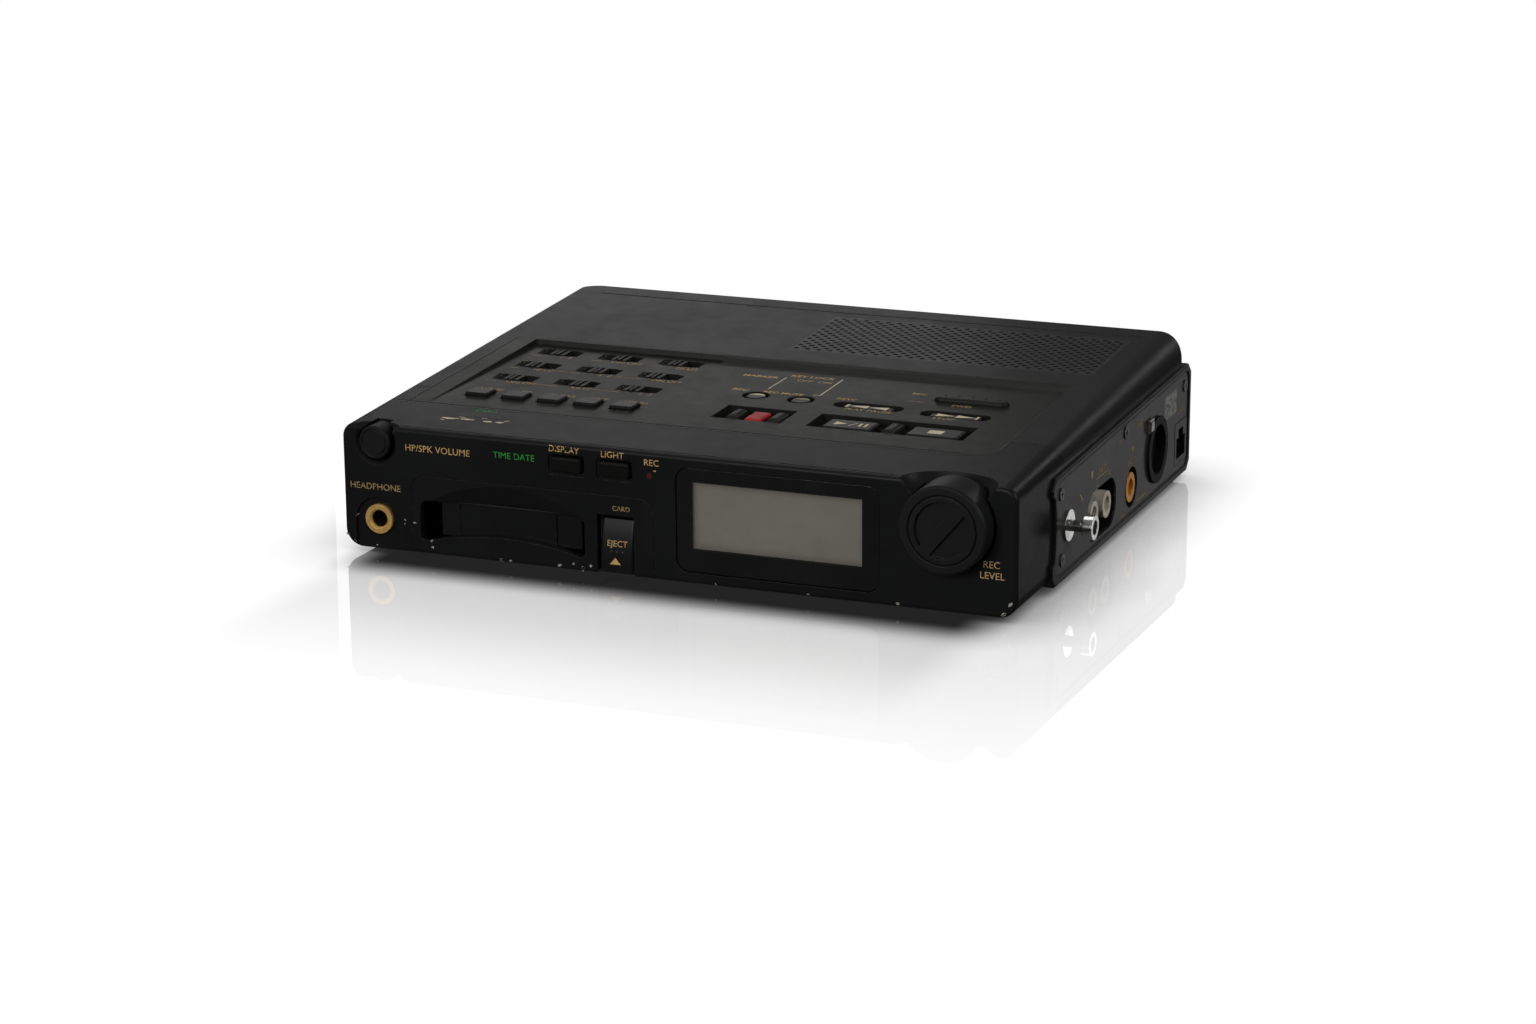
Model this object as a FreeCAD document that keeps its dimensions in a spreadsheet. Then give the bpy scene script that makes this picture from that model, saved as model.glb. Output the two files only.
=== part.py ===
import FreeCAD, Part
import os, math, re

# Portable solid-state field recorder with a memory-card slot.
# Working coordinates inside the document (millimetres):
#   x from the left side of the case, y from the front face towards the back,
#   z from the underside of the case.
# Every finished piece is then placed by (shift_x, shift_y, foot_h), which puts
# the origin on the floor under the middle of the whole object, +Z up.

V3 = FreeCAD.Vector
doc = FreeCAD.newDocument("field_recorder")
sheet = doc.addObject("Spreadsheet::Sheet", "Dims")
N = {}
_row = [0]


def dim(alias, value, note=""):
    _row[0] += 1
    cell = "B%d" % _row[0]
    sheet.set("A%d" % _row[0], note or alias.replace("_", " "))
    sheet.set(cell, "%g" % value)
    sheet.setAlias(cell, alias)
    N[alias] = float(value)


# ---- case
dim("case_w", 264, "width of the case")
dim("case_d", 215, "depth of the case")
dim("front_h", 47.6, "case height at the front face")
dim("rear_h", 56.2, "case height at the back face")
dim("top_r_front", 5.5, "top side edge radius at the front")
dim("top_r_rear", 12, "top side edge radius at the back")
dim("top_r_left", 2.4, "top left edge radius at the back")
dim("low_r", 7, "bottom side edge radius")
dim("plan_r", 10, "rear vertical corner radius")
dim("plan_r_in", 8, "inner rear vertical corner radius")
dim("edge_r", 1.6, "front outline edge radius")
dim("wall", 2.2, "shell thickness")
dim("front_wall", 3.4, "front wall thickness")
dim("seam_z", 43.6, "cover to case seam height")
dim("bezel_y", 33.5, "back edge of the front bezel")
dim("strip_y", 53, "back edge of the bezel side strips")
dim("foot_h", 2.0, "rubber foot height")
dim("foot_r", 5.2, "rubber foot radius")
dim("shift_x", -132, "placement in x")
dim("shift_y", -103.75, "placement in y")
dim("gap", 0.12, "fine assembly gap")
# ---- control plate
dim("pl_x0", 10.6, "control plate left edge")
dim("pl_x1", 243, "control plate right edge")
dim("pl_y1", 130, "control plate back edge")
dim("pl_t", 2.4, "control plate thickness")
dim("pl_drop", 2.0, "drop below the cover at the back")
dim("kp_x0", 19, "key area left edge")
dim("kp_x1", 101.5, "key area right edge")
# ---- slide switches
dim("sw_x", 34.5, "first switch column")
dim("sw_px", 26, "switch column pitch")
dim("sw_y", 77.5, "first switch row")
dim("sw_py", 20.4, "switch row pitch")
dim("sw_w", 13, "switch slot length")
dim("sw_d", 8.6, "switch slot width")
dim("sw_cap_w", 6.2, "switch cap width")
dim("sw_cap_d", 7.4, "switch cap depth")
dim("sw_travel", 3.0, "travel each way from the middle")
# ---- small keys
dim("key_x", 32, "first key centre")
dim("key_px", 15, "key pitch")
dim("key_y", 52, "key row centre")
dim("key_w", 9.4, "key width")
dim("key_d", 8.8, "key depth")
dim("key_up", 1.3, "key height above the plate")
dim("key_clear", 0.35, "key side clearance")
# ---- transport
dim("rec_x0", 127.8, "record recess left")
dim("rec_x1", 155.6, "record recess right")
dim("tr_x0", 165.5, "transport recess left")
dim("tr_x1", 226.5, "transport recess right")
dim("tr_y0", 49.6, "transport recess front")
dim("tr_y1", 67.6, "transport recess back")
dim("tr_depth", 2.6, "recess depth")
# ---- front face
dim("vol_x", 14, "volume knob centre x")
dim("vol_z", 41.3, "volume knob centre z")
dim("vol_r", 6.3, "volume knob radius")
dim("lvl_x", 239.2, "level knob centre x")
dim("lvl_z", 32.4, "level knob centre z")
dim("lvl_r", 16.2, "level knob radius")
dim("lvl_inner_r", 12.5, "inner level knob radius")
dim("lvl_out", 9, "level knob projection")
dim("jack_x", 14.6, "headphone socket centre x")
dim("jack_z", 11.8, "headphone socket centre z")
dim("jack_r", 5.6, "headphone ring radius")
dim("jack_bore_r", 3.2, "headphone socket bore radius")
dim("lcd_x0", 134.8, "window frame left")
dim("lcd_x1", 213, "window frame right")
dim("lcd_z0", 4.2, "window frame bottom")
dim("lcd_z1", 43.4, "window frame top")
dim("lcd_r", 5, "window corner radius")
dim("bay_x0", 28.3, "card panel left")
dim("bay_x1", 125.8, "card panel right")
dim("bay_z1", 30, "card panel top")
dim("bay_r", 6, "card panel corner radius")
dim("slot_x0", 31.7, "card opening left")
dim("slot_x1", 98.7, "card opening right")
dim("slot_z1", 20.8, "card opening top")
dim("dsp_x", 92.15, "display key centre")
dim("lgt_x", 111.2, "light key centre")
dim("fk_z", 40.0, "front key centre height")
dim("fk_w", 11.6, "front key width")
dim("fk_h", 5.4, "front key height")
dim("ej_x0", 103.7, "eject well left")
dim("ej_x1", 118.3, "eject well right")
dim("ej_z1", 22.6, "eject well top")
# ---- right side
dim("fr_t", 1.4, "side frame projection")
dim("fr_y0", 36, "side frame front")
dim("fr_y1", 216.5, "side frame back")
dim("post_y", 55.7, "strap post y")
dim("post_z", 19.9, "strap post z")
dim("post_len", 10.2, "strap post length")
dim("post_r", 2.1, "strap post shaft radius")
dim("post_head_r", 4.6, "strap post head radius")
dim("rca_y", 89.5, "first line socket")
dim("rca_py", 16, "line socket pitch")
dim("rca_z", 14.6, "line socket height")
dim("rca_r", 5.2, "line socket ring radius")
dim("dig_y", 136.5, "digital socket y")
dim("dig_z", 13.2, "digital socket height")
dim("dig_r", 5.8, "digital socket ring radius")
dim("xlr_y", 169, "microphone socket y")
dim("xlr_z", 20.2, "microphone socket height")
dim("xlr_r", 13.2, "microphone socket flange radius")
# ---- speaker
dim("gr_x0", 121, "grille panel left")
dim("gr_x1", 245.4, "grille panel right")
dim("gr_y0", 145, "grille panel front")
dim("gr_y1", 197.4, "grille panel back")
dim("gr_pitch", 4.8, "grille hole pitch")
dim("gr_rowp", 2.45, "grille row pitch")
dim("gr_hole_r", 1.05, "grille hole radius")
# ---- battery bay
dim("bat_x0", 20, "battery bay left")
dim("bat_x1", 123, "battery bay right")
dim("bat_y0", 150, "battery bay front")
dim("bat_z1", 18.4, "battery bay ceiling")
dim("cell_r", 7.1, "cell radius")
dim("cell_l", 50, "cell length")

doc.recompute()

FUNCS = ("sqrt", "sin", "cos", "tan", "abs")


def ex(s):
    if not isinstance(s, str):
        return "%.6g" % s
    return re.sub(r"[A-Za-z_][A-Za-z_0-9]*",
                  lambda m: m.group(0) if m.group(0) in FUNCS else "Dims." + m.group(0), s)


POS = {}


def pos(o, x, y, z):
    POS[o.Name] = (x, y, z)
    for k, s in (("x", x), ("y", y), ("z", z)):
        o.setExpression("Placement.Base." + k, ex(s))
    return o


ROT = {"z": FreeCAD.Rotation(), "x": FreeCAD.Rotation(V3(0, 1, 0), 90),
       "y": FreeCAD.Rotation(V3(1, 0, 0), -90)}


def box(name, x, y, z, l, w, h):
    o = doc.addObject("Part::Box", name)
    o.setExpression("Length", ex(l))
    o.setExpression("Width", ex(w))
    o.setExpression("Height", ex(h))
    return pos(o, x, y, z)


def box2(name, x0, x1, y0, y1, z0, z1):
    # box between two corners
    f = lambda a, b: "(%s)-(%s)" % (b, a)
    return box(name, x0, y0, z0, f(x0, x1), f(y0, y1), f(z0, z1))


def cyl(name, x, y, z, r, l, axis="z"):
    o = doc.addObject("Part::Cylinder", name)
    o.Placement = FreeCAD.Placement(V3(0, 0, 0), ROT[axis])
    o.setExpression("Radius", ex(r))
    o.setExpression("Height", ex(l))
    return pos(o, x, y, z)


def cone(name, x, y, z, r1, r2, l, axis="z"):
    o = doc.addObject("Part::Cone", name)
    o.Placement = FreeCAD.Placement(V3(0, 0, 0), ROT[axis])
    o.setExpression("Radius1", ex(r1))
    o.setExpression("Radius2", ex(r2))
    o.setExpression("Height", ex(l))
    return pos(o, x, y, z)


def cut(name, base, *tools):
    if len(tools) > 1:
        t = fuse(name + "_tools", *tools)
    else:
        t = tools[0]
    o = doc.addObject("Part::Cut", name)
    o.Base = base
    o.Tool = t
    return o


def fuse(name, *objs):
    o = doc.addObject("Part::MultiFuse", name)
    o.Shapes = list(objs)
    o.Refine = True
    return o


def common(name, a, b):
    o = doc.addObject("Part::Common", name)
    o.Base = a
    o.Tool = b
    return o


def group(name, *objs):
    o = doc.addObject("Part::Compound", name)
    o.Links = list(objs)
    return o


def fillet(name, base, radius, pick):
    # rounds the edges of base for which pick(edge) holds
    doc.recompute()
    lst = []
    for i, e in enumerate(base.Shape.Edges):
        if pick(e):
            lst.append((i + 1, radius, radius))
    o = doc.addObject("Part::Fillet", name)
    o.Base = base
    o.Edges = lst
    return o


def chamfer(name, base, size, pick):
    doc.recompute()
    lst = []
    for i, e in enumerate(base.Shape.Edges):
        if pick(e):
            lst.append((i + 1, size, size))
    o = doc.addObject("Part::Chamfer", name)
    o.Base = base
    o.Edges = lst
    return o


def bb(e):
    return e.BoundBox


# ------------------------------------------------------------ sketch helpers
PLANES = {"xy": FreeCAD.Rotation(), "xz": FreeCAD.Rotation(V3(1, 0, 0), 90),
          "yz": FreeCAD.Rotation(V3(1, 1, 1), 120)}


def rrect(sk, x0, x1, y0, y1, rt, rb, ra=None, rl=None):
    # rounded rectangle with its limits and radii driven by the sheet;
    # rt rounds the two upper corners, rb the lower ones; ra and rl are the lower
    # left and the upper left one where those differ
    import Sketcher
    ra = rb if ra is None else ra
    rl = rt if rl is None else rl
    vx0, vx1, vy0, vy1, vrt, vrb, vra, vrl = [num(q) for q in (x0, x1, y0, y1, rt, rb, ra, rl)]
    P = lambda x, y: V3(x, y, 0)
    a = math.pi
    g = []
    g.append(sk.addGeometry(Part.LineSegment(P(vx0 + vra, vy0), P(vx1 - vrb, vy0)), False))
    g.append(sk.addGeometry(Part.ArcOfCircle(Part.Circle(P(vx1 - vrb, vy0 + vrb), V3(0, 0, 1), vrb), -a / 2, 0), False))
    g.append(sk.addGeometry(Part.LineSegment(P(vx1, vy0 + vrb), P(vx1, vy1 - vrt)), False))
    g.append(sk.addGeometry(Part.ArcOfCircle(Part.Circle(P(vx1 - vrt, vy1 - vrt), V3(0, 0, 1), vrt), 0, a / 2), False))
    g.append(sk.addGeometry(Part.LineSegment(P(vx1 - vrt, vy1), P(vx0 + vrl, vy1)), False))
    g.append(sk.addGeometry(Part.ArcOfCircle(Part.Circle(P(vx0 + vrl, vy1 - vrl), V3(0, 0, 1), vrl), a / 2, a), False))
    g.append(sk.addGeometry(Part.LineSegment(P(vx0, vy1 - vrl), P(vx0, vy0 + vra)), False))
    g.append(sk.addGeometry(Part.ArcOfCircle(Part.Circle(P(vx0 + vra, vy0 + vra), V3(0, 0, 1), vra), a, 3 * a / 2), False))
    C = Sketcher.Constraint
    # each arc runs from the line before it to the line after it
    for li, ar, ln in ((g[0], g[1], g[2]), (g[2], g[3], g[4]), (g[4], g[5], g[6]), (g[6], g[7], g[0])):
        sk.addConstraint(C("Tangent", li, 2, ar, 1))
        sk.addConstraint(C("Tangent", ar, 2, ln, 1))
    sk.addConstraint(C("Horizontal", g[0]))
    sk.addConstraint(C("Vertical", g[2]))
    sk.addConstraint(C("Horizontal", g[4]))
    sk.addConstraint(C("Vertical", g[6]))
    for k, ar, r in (("r_low_b", g[1], rb), ("r_top_b", g[3], rt), ("r_top_a", g[5], rl), ("r_low_a", g[7], ra)):
        i = sk.addConstraint(C("Radius", ar, num(r)))
        sk.renameConstraint(i, k)
        sk.setExpression("Constraints." + k, ex(r))
    for k, ln, pt, kind, v in (("left", g[6], 1, "DistanceX", x0), ("right", g[2], 1, "DistanceX", x1),
                               ("low", g[0], 1, "DistanceY", y0), ("high", g[4], 1, "DistanceY", y1)):
        i = sk.addConstraint(C(kind, -1, 1, ln, pt, num(v)))
        sk.renameConstraint(i, k)
        sk.setExpression("Constraints." + k, ex(v))


def num(s):
    # value of a simple sum of sheet names and numbers
    if not isinstance(s, str):
        return float(s)
    total = 0.0
    for sign, tok in re.findall(r"([+-]?)\s*([A-Za-z_][A-Za-z_0-9]*|[0-9.]+)", s):
        v = N[tok] if tok in N else float(tok)
        total += -v if sign == "-" else v
    return total


def slab(name, plane, lims, rt, rb, start, length, ra=None):
    # rounded rectangle pushed out along +Y (plane xz), +X (yz) or +Z (xy)
    sk = doc.addObject("Sketcher::SketchObject", name + "_outline")
    sk.Placement = FreeCAD.Placement(V3(0, 0, 0), PLANES[plane])
    rrect(sk, lims[0], lims[1], lims[2], lims[3], rt, rb, ra)
    axis = {"xz": ("y", V3(0, 1, 0)), "yz": ("x", V3(1, 0, 0)), "xy": ("z", V3(0, 0, 1))}[plane]
    sk.setExpression("Placement.Base." + axis[0], ex(start))
    o = doc.addObject("Part::Extrusion", name)
    o.Base = sk
    o.DirMode = "Custom"
    o.Dir = axis[1]
    o.Solid = True
    o.setExpression("LengthFwd", ex(length))
    return o


def profile(name, pts, plane, start, length):
    # polygon prism; points are (u, v) pairs in the plane
    sk = doc.addObject("Sketcher::SketchObject", name + "_outline")
    sk.Placement = FreeCAD.Placement(V3(0, 0, 0), PLANES[plane])
    import Sketcher
    C = Sketcher.Constraint
    n = len(pts)
    vals = [(num(p[0]), num(p[1])) for p in pts]
    for i in range(n):
        a, b = vals[i], vals[(i + 1) % n]
        sk.addGeometry(Part.LineSegment(V3(a[0], a[1], 0), V3(b[0], b[1], 0)), False)
    for i in range(n):
        sk.addConstraint(C("Coincident", i, 2, (i + 1) % n, 1))
    for i in range(n):
        for kind, j, tag in (("DistanceX", 0, "u"), ("DistanceY", 1, "v")):
            k = sk.addConstraint(C(kind, -1, 1, i, 1, vals[i][j]))
            nm = "%s%d" % (tag, i)
            sk.renameConstraint(k, nm)
            sk.setExpression("Constraints." + nm, ex(pts[i][j]))
    axis = {"xz": ("y", V3(0, 1, 0)), "yz": ("x", V3(1, 0, 0)), "xy": ("z", V3(0, 0, 1))}[plane]
    sk.setExpression("Placement.Base." + axis[0], ex(start))
    o = doc.addObject("Part::Extrusion", name)
    o.Base = sk
    o.DirMode = "Custom"
    o.Dir = axis[1]
    o.Solid = True
    o.setExpression("LengthFwd", ex(length))
    return o


PIECES = []


def piece(obj, label):
    # names the finished piece and moves it into the object's frame
    obj.Label = label
    sh = {"x": "shift_x", "y": "shift_y", "z": "foot_h"}
    base = POS.get(obj.Name)
    for i, k in enumerate("xyz"):
        if base is not None:
            obj.setExpression("Placement.Base." + k, ex("(%s)+%s" % (base[i], sh[k])))
        else:
            obj.setExpression("Placement.Base." + k, ex(sh[k]))
    PIECES.append(obj)
    return obj


# ============================================================ case envelope
slope = (N["rear_h"] - N["front_h"]) / N["case_d"]


def ztop(y):
    return N["front_h"] + slope * y


def loft(name, inset, y0, y1, rf, rr, rl, zf, zr, lf, lr):
    s = []
    for tag, y, r, zt, rt_left in (("front", y0, rf, zf, lf), ("back", y1, rr, zr, lr)):
        sk = doc.addObject("Sketcher::SketchObject", "%s_%s" % (name, tag))
        sk.Placement = FreeCAD.Placement(V3(0, 0, 0), PLANES["xz"])
        sk.setExpression("Placement.Base.y", ex(y))
        rrect(sk, inset, "case_w-%s" % inset, inset, zt, r, rl, None, rt_left)
        s.append(sk)
    o = doc.addObject("Part::Loft", name)
    o.Sections = s
    o.Solid = True
    o.Ruled = True
    return o


raw = loft("envelope_raw", "0", 0, "case_d", "top_r_front", "top_r_rear", "low_r", "front_h", "rear_h",
           "top_r_front", "top_r_left")
plan = doc.addObject("Sketcher::SketchObject", "plan_outline")
rrect(plan, 0, "case_w", -5, "case_d", "plan_r", 1)
plan_x = doc.addObject("Part::Extrusion", "plan_prism")
plan_x.Base = plan
plan_x.DirMode = "Custom"
plan_x.Dir = V3(0, 0, 1)
plan_x.LengthFwd = 80
plan_x.LengthRev = 10
plan_x.Solid = True
env0 = common("envelope_sharp", raw, plan_x)
doc.recompute()
env = fillet("envelope", env0, N["edge_r"], lambda e: bb(e).YMax < 0.01)
doc.recompute()
if not env.Shape.isValid() or env.Shape.isNull():
    raise RuntimeError("envelope fillet")

inner_raw = loft("hollow_raw", "wall", 0, "case_d", 3.6, 9.8, 4.8, "front_h-wall", "rear_h-wall", 3.6, 2.4)
plan2 = doc.addObject("Sketcher::SketchObject", "plan_inner_outline")
rrect(plan2, "wall", "case_w-wall", "front_wall", "case_d-wall", "plan_r_in", 1)
plan2_x = doc.addObject("Part::Extrusion", "plan_inner_prism")
plan2_x.Base = plan2
plan2_x.DirMode = "Custom"
plan2_x.Dir = V3(0, 0, 1)
plan2_x.LengthFwd = 80
plan2_x.LengthRev = 10
plan2_x.Solid = True
hollow = common("hollow", inner_raw, plan2_x)

# ============================================================ control plate
zf = ztop(N["bezel_y"] + 0.12)            # plate surface at its front edge
zb = ztop(N["pl_y1"]) - N["pl_drop"]      # plate surface near its back edge
dim("pz_front", round(zf, 3), "plate surface height, front")
dim("pz_back", round(zb, 3), "plate surface height, back")
dim("cz_back", round(ztop(N["pl_y1"] - 0.12), 3), "cover height at the plate's back edge")
dim("cz_mid", round(ztop(N["pl_y1"] - 1.4), 3), "cover height at the key area's back wall")
doc.recompute()


def zp(y):
    t = (y - N["bezel_y"]) / (128.0 - N["bezel_y"])
    return N["pz_front"] + (N["pz_back"] - N["pz_front"]) * t


plate_key = profile("plate_key_zone", [
    ("bezel_y+gap", "pz_front"), (128.2, "pz_back"), (128.8, "cz_mid"), ("pl_y1-gap", "cz_back"),
    ("pl_y1-gap", "pz_back-pl_t"), ("bezel_y+gap", "pz_front-pl_t")], "yz", "kp_x0", "kp_x1-kp_x0")
plate_main = profile("plate_main_zone", [
    ("bezel_y+gap", "pz_front"), (121, "pz_back-0.1"), (124, "pz_back+0.35"), (127, "cz_back-0.45"),
    ("pl_y1-gap", "cz_back"), ("pl_y1-gap", "pz_back-pl_t"), ("bezel_y+gap", "pz_front-pl_t")],
    "yz", "kp_x1", "pl_x1-gap-kp_x1")
plate_edge = profile("plate_left_zone", [
    ("bezel_y+gap", "pz_front"), ("pl_y1-gap", "cz_back"), ("pl_y1-gap", "pz_back-pl_t"),
    ("bezel_y+gap", "pz_front-pl_t")], "yz", "pl_x0+gap", "kp_x0-pl_x0-gap")
tub_rec = box2("tub_record", "rec_x0-1.2", "rec_x1+1.2", "tr_y0-1.2", "tr_y1+1.2", 44.6, "pz_front-1.2")
tub_tr = box2("tub_transport", "tr_x0-1.2", "tr_x1+1.2", "tr_y0-1.2", "tr_y1+1.2", 44.6, "pz_front-1.2")
tub_rew = slab("tub_rewind", "xy", ("rec_x1+7.5", "rec_x1+37.7", 76.9, 87.5), 5.2, 5.2, 45.0, 3.2)
tub_fwd = slab("tub_forward", "xy", ("rec_x1+42.3", "rec_x1+72.5", 75.5, 86.1), 5.2, 5.2, 45.0, 3.2)
tub_ra = cyl("tub_round_a", 132.2, 83.6, 45.0, 6.8, 3.2)
tub_rb = cyl("tub_round_b", 150.6, 83.2, 45.0, 6.8, 3.2)
plate_body = fuse("plate_body", plate_key, plate_main, plate_edge, tub_rec, tub_tr, tub_rew, tub_fwd, tub_ra, tub_rb)

ROUND = [(132.2, 83.6), (150.6, 83.2)]
REW = (178.2, 82.2)
FWD = (213.0, 80.8)
cuts = []
# slide switch slots, with sloped finger reliefs at both ends
for r in range(3):
    for c in range(3):
        n = r * 3 + c + 1
        cx, cy = "sw_x+%d*sw_px" % c, "sw_y+%d*sw_py" % r
        z = zp(N["sw_y"] + r * N["sw_py"])
        cuts.append(box("sw_slot_%d" % n, "%s-sw_w/2" % cx, "%s-sw_d/2" % cy, z - 6, "sw_w", "sw_d", 8))
        cxv = N["sw_x"] + c * N["sw_px"]
        cyv = N["sw_y"] + r * N["sw_py"]
        w2 = N["sw_w"] / 2
        cuts.append(profile("sw_relief_%d" % n, [
            (cxv - w2 - 2.6, z + 0.4), (cxv - w2 - 2.2, z - 0.05), (cxv - w2 + 0.2, z - 1.9),
            (cxv + w2 - 0.2, z - 1.9), (cxv + w2 + 2.2, z - 0.05), (cxv + w2 + 2.6, z + 0.4)],
            "xz", cyv - N["sw_d"] / 2 + 0.6, N["sw_d"] - 1.2))
# key openings
for i in range(5):
    cuts.append(box("key_hole_%d" % (i + 1), "key_x+%d*key_px-key_w/2-key_clear" % i, "key_y-key_d/2-key_clear",
                    43, "key_w+2*key_clear", "key_d+2*key_clear", 10))
# record and transport recesses: open pans with a sloped front lip
fl = "pz_front-tr_depth"
cuts.append(box2("rec_pan", "rec_x0", "rec_x1", "tr_y0", "tr_y1", fl, 60))
cuts.append(box2("tr_pan", "tr_x0", "tr_x1", "tr_y0", "tr_y1", fl, 60))
cuts.append(box2("rec_hole", 139.8, 147.4, 51.1, 63.4, 40, 60))
cuts.append(box2("play_hole", 170.6, 190.6, 50.3, 63.2, 40, 60))
cuts.append(box2("stop_hole", 203.4, 224.2, 50.3, 63.2, 40, 60))
for nm, (cx, cy) in (("rewind", REW), ("forward", FWD)):
    cuts.append(slab(nm + "_slot", "xy", (cx - 13.7, cx + 13.7, cy - 4.1, cy + 4.1), 3.9, 3.9, 46.2, 10))
    cuts.append(box2(nm + "_hole", cx - 10.2, cx + 10.2, cy - 2.9, cy + 2.9, 40, 60))
for nm, (cx, cy) in (("round_a", ROUND[0]), ("round_b", ROUND[1])):
    cuts.append(cyl(nm + "_well", cx, cy, 46.2, 5.3, 10))
    cuts.append(cyl(nm + "_hole", cx, cy, 40, 4.2, 20))
cuts.append(slab("mic_slot", "xy", (198, 227.6, 97.0, 103.2), 3, 3, 40, 20))
plate_cut = cut("plate_cut", plate_body, *cuts)
# guard blocks either side of the record key and between play and stop
blocks = []
for nm, x0, x1 in (("guard_a", 133.0, 137.8), ("guard_b", 149.4, 154.4), ("guard_c", 194.4, 199.8)):
    b = box2(nm + "_block", x0, x1, 51.0, 62.5, "pz_front-tr_depth-0.2", "pz_front+1.3")
    blocks.append(fillet(nm, b, 1.9, lambda e: abs(bb(e).ZMax - bb(e).ZMin) < 0.01 and bb(e).ZMin > 49))
# front corners of the plate are rounded in plan
plan3 = slab("plate_plan", "xy", ("pl_x0+gap", "pl_x1-gap", "bezel_y+gap", "pl_y1-gap"), 1.0, 8.0, 30, 40, 2.0)
plate_all = fuse("plate_all", plate_cut, *blocks)
control_plate = piece(common("control_plate_solid", plate_all, plan3), "control_plate")

# plan opening that the plate drops into
plate_void = slab("plate_opening", "xy", ("pl_x0", "pl_x1", "bezel_y", "pl_y1"), 1.1, 8.1, 40, 40, 2.1)

# ============================================================ front bezel
reg_a = box2("bezel_front_region", -2, "case_w+2", -2, "bezel_y", -2, 80)
reg_b = box2("bezel_strip_left", -2, "pl_x0+8", "bezel_y", "strip_y", "seam_z", 80)
reg_c = box2("bezel_strip_right", "pl_x1-12", "case_w+2", "bezel_y", "strip_y", "seam_z", 80)
bez_reg = fuse("bezel_region", reg_a, reg_b, reg_c)
bez0 = common("bezel_blank", env, bez_reg)
# keep material behind the two knobs and the window seat
keep_a = cyl("vol_boss", "vol_x", 0, "vol_z", 9.6, 11, "y")
keep_b = box2("lvl_boss", "lvl_x-21", "lvl_x+20.5", 0, 13, 12, 80)
keep = fuse("knob_bosses", keep_a, keep_b)
hollow_b = cut("bezel_hollow", hollow, keep)
bez1 = cut("bezel_shell", bez0, hollow_b)
bt = []
bt.append(cyl("vol_hole", "vol_x+0.1", -1, "vol_z-0.2", "vol_r+1.25", 10, "y"))
bt.append(cyl("vol_stem_hole", "vol_x", 5, "vol_z", 1.75, 10, "y"))
bt.append(cone("vol_ring", "vol_x+0.1", -0.2, "vol_z-0.2", "vol_r+2.6", "vol_r+1.25", 1.1, "y"))
sc = doc.addObject("Part::Ellipsoid", "vol_scoop")
sc.Radius1, sc.Radius2, sc.Radius3 = 7.5, 10.5, 6.0
pos(sc, "vol_x+0.8", 0, "vol_z+9.9")
bt.append(sc)
bt.append(cyl("lvl_hole", "lvl_x", -1, "lvl_z", "lvl_r+0.9", 9, "y"))
bt.append(cyl("lvl_stem_hole", "lvl_x", 5, "lvl_z", 4.4, 12, "y"))
sc2 = doc.addObject("Part::Ellipsoid", "lvl_scoop")
sc2.Radius1, sc2.Radius2, sc2.Radius3 = 21.5, 21.5, 14.5
pos(sc2, "lvl_x-0.9", 0, "lvl_z+26.7")
bt.append(sc2)
bt.append(slab("lcd_seat", "xz", ("lcd_x0", "lcd_x1", "lcd_z0", "lcd_z1"), "lcd_r", "lcd_r", -1, 3.2))
bt.append(box2("lcd_light", 138.6, 208.6, -1, 6, 10.6, 40.4))
bt.append(slab("bay_opening", "xz", ("bay_x0-gap", "bay_x1+gap", -8, "bay_z1+gap"), "bay_r+gap", 1, -1, 5))
for nm, cx in (("dsp", "dsp_x"), ("lgt", "lgt_x")):
    bt.append(slab(nm + "_hole", "xz", (cx + "-6.35", cx + "+6.35", "fk_z-3.25", "fk_z+3.25"), 0.9, 0.9, -1, 6))
    bt.append(slab(nm + "_sink", "xz", (cx + "-7.5", cx + "+7.5", "fk_z-4.4", "fk_z+4.2"), 1.6, 1.6, -1, 1.7))
bt.append(cyl("led_hole", 124.6, -1, 38.9, 1.15, 6, "y"))
u1 = cyl("jack_recess_arch", "jack_x-0.6", -1, 10.85, 9.15, 2.2, "y")
u2 = box2("jack_recess_low", "jack_x-9.75", "jack_x+8.55", -1, 1.2, -3, 10.85)
bt.append(fuse("jack_recess", u1, u2))
bt.append(cyl("jack_hole", "jack_x", -1, "jack_z", 4.6, 6, "y"))
bt.append(box2("top_groove", 23.5, 219, 2.2, 2.9, 47.1, 60))
bt.append(plate_void)
bt.append(box2("eject_floor_gap", "ej_x0-0.3", "ej_x1+0.3", -1, 13.2, -1, 2.5))
front_bezel = piece(cut("front_bezel_solid", bez1, *bt), "front_bezel")

# ============================================================ card panel
bay0 = slab("bay_blank", "xz", ("bay_x0", "bay_x1", -8, "bay_z1"), "bay_r", 1, 0, "front_wall-gap")
bay1 = common("bay_face", env, bay0)
sl_box = slab("slot_block", "xz", ("slot_x0", "slot_x1", 5.4, "slot_z1"), 3.4, 2.0, -1, 7)
sl_arc = cyl("slot_lip_arch", 65.5, -2, -118.2, 127.5, 9, "y")
slot_void = cut("slot_void", sl_box, sl_arc)
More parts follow.
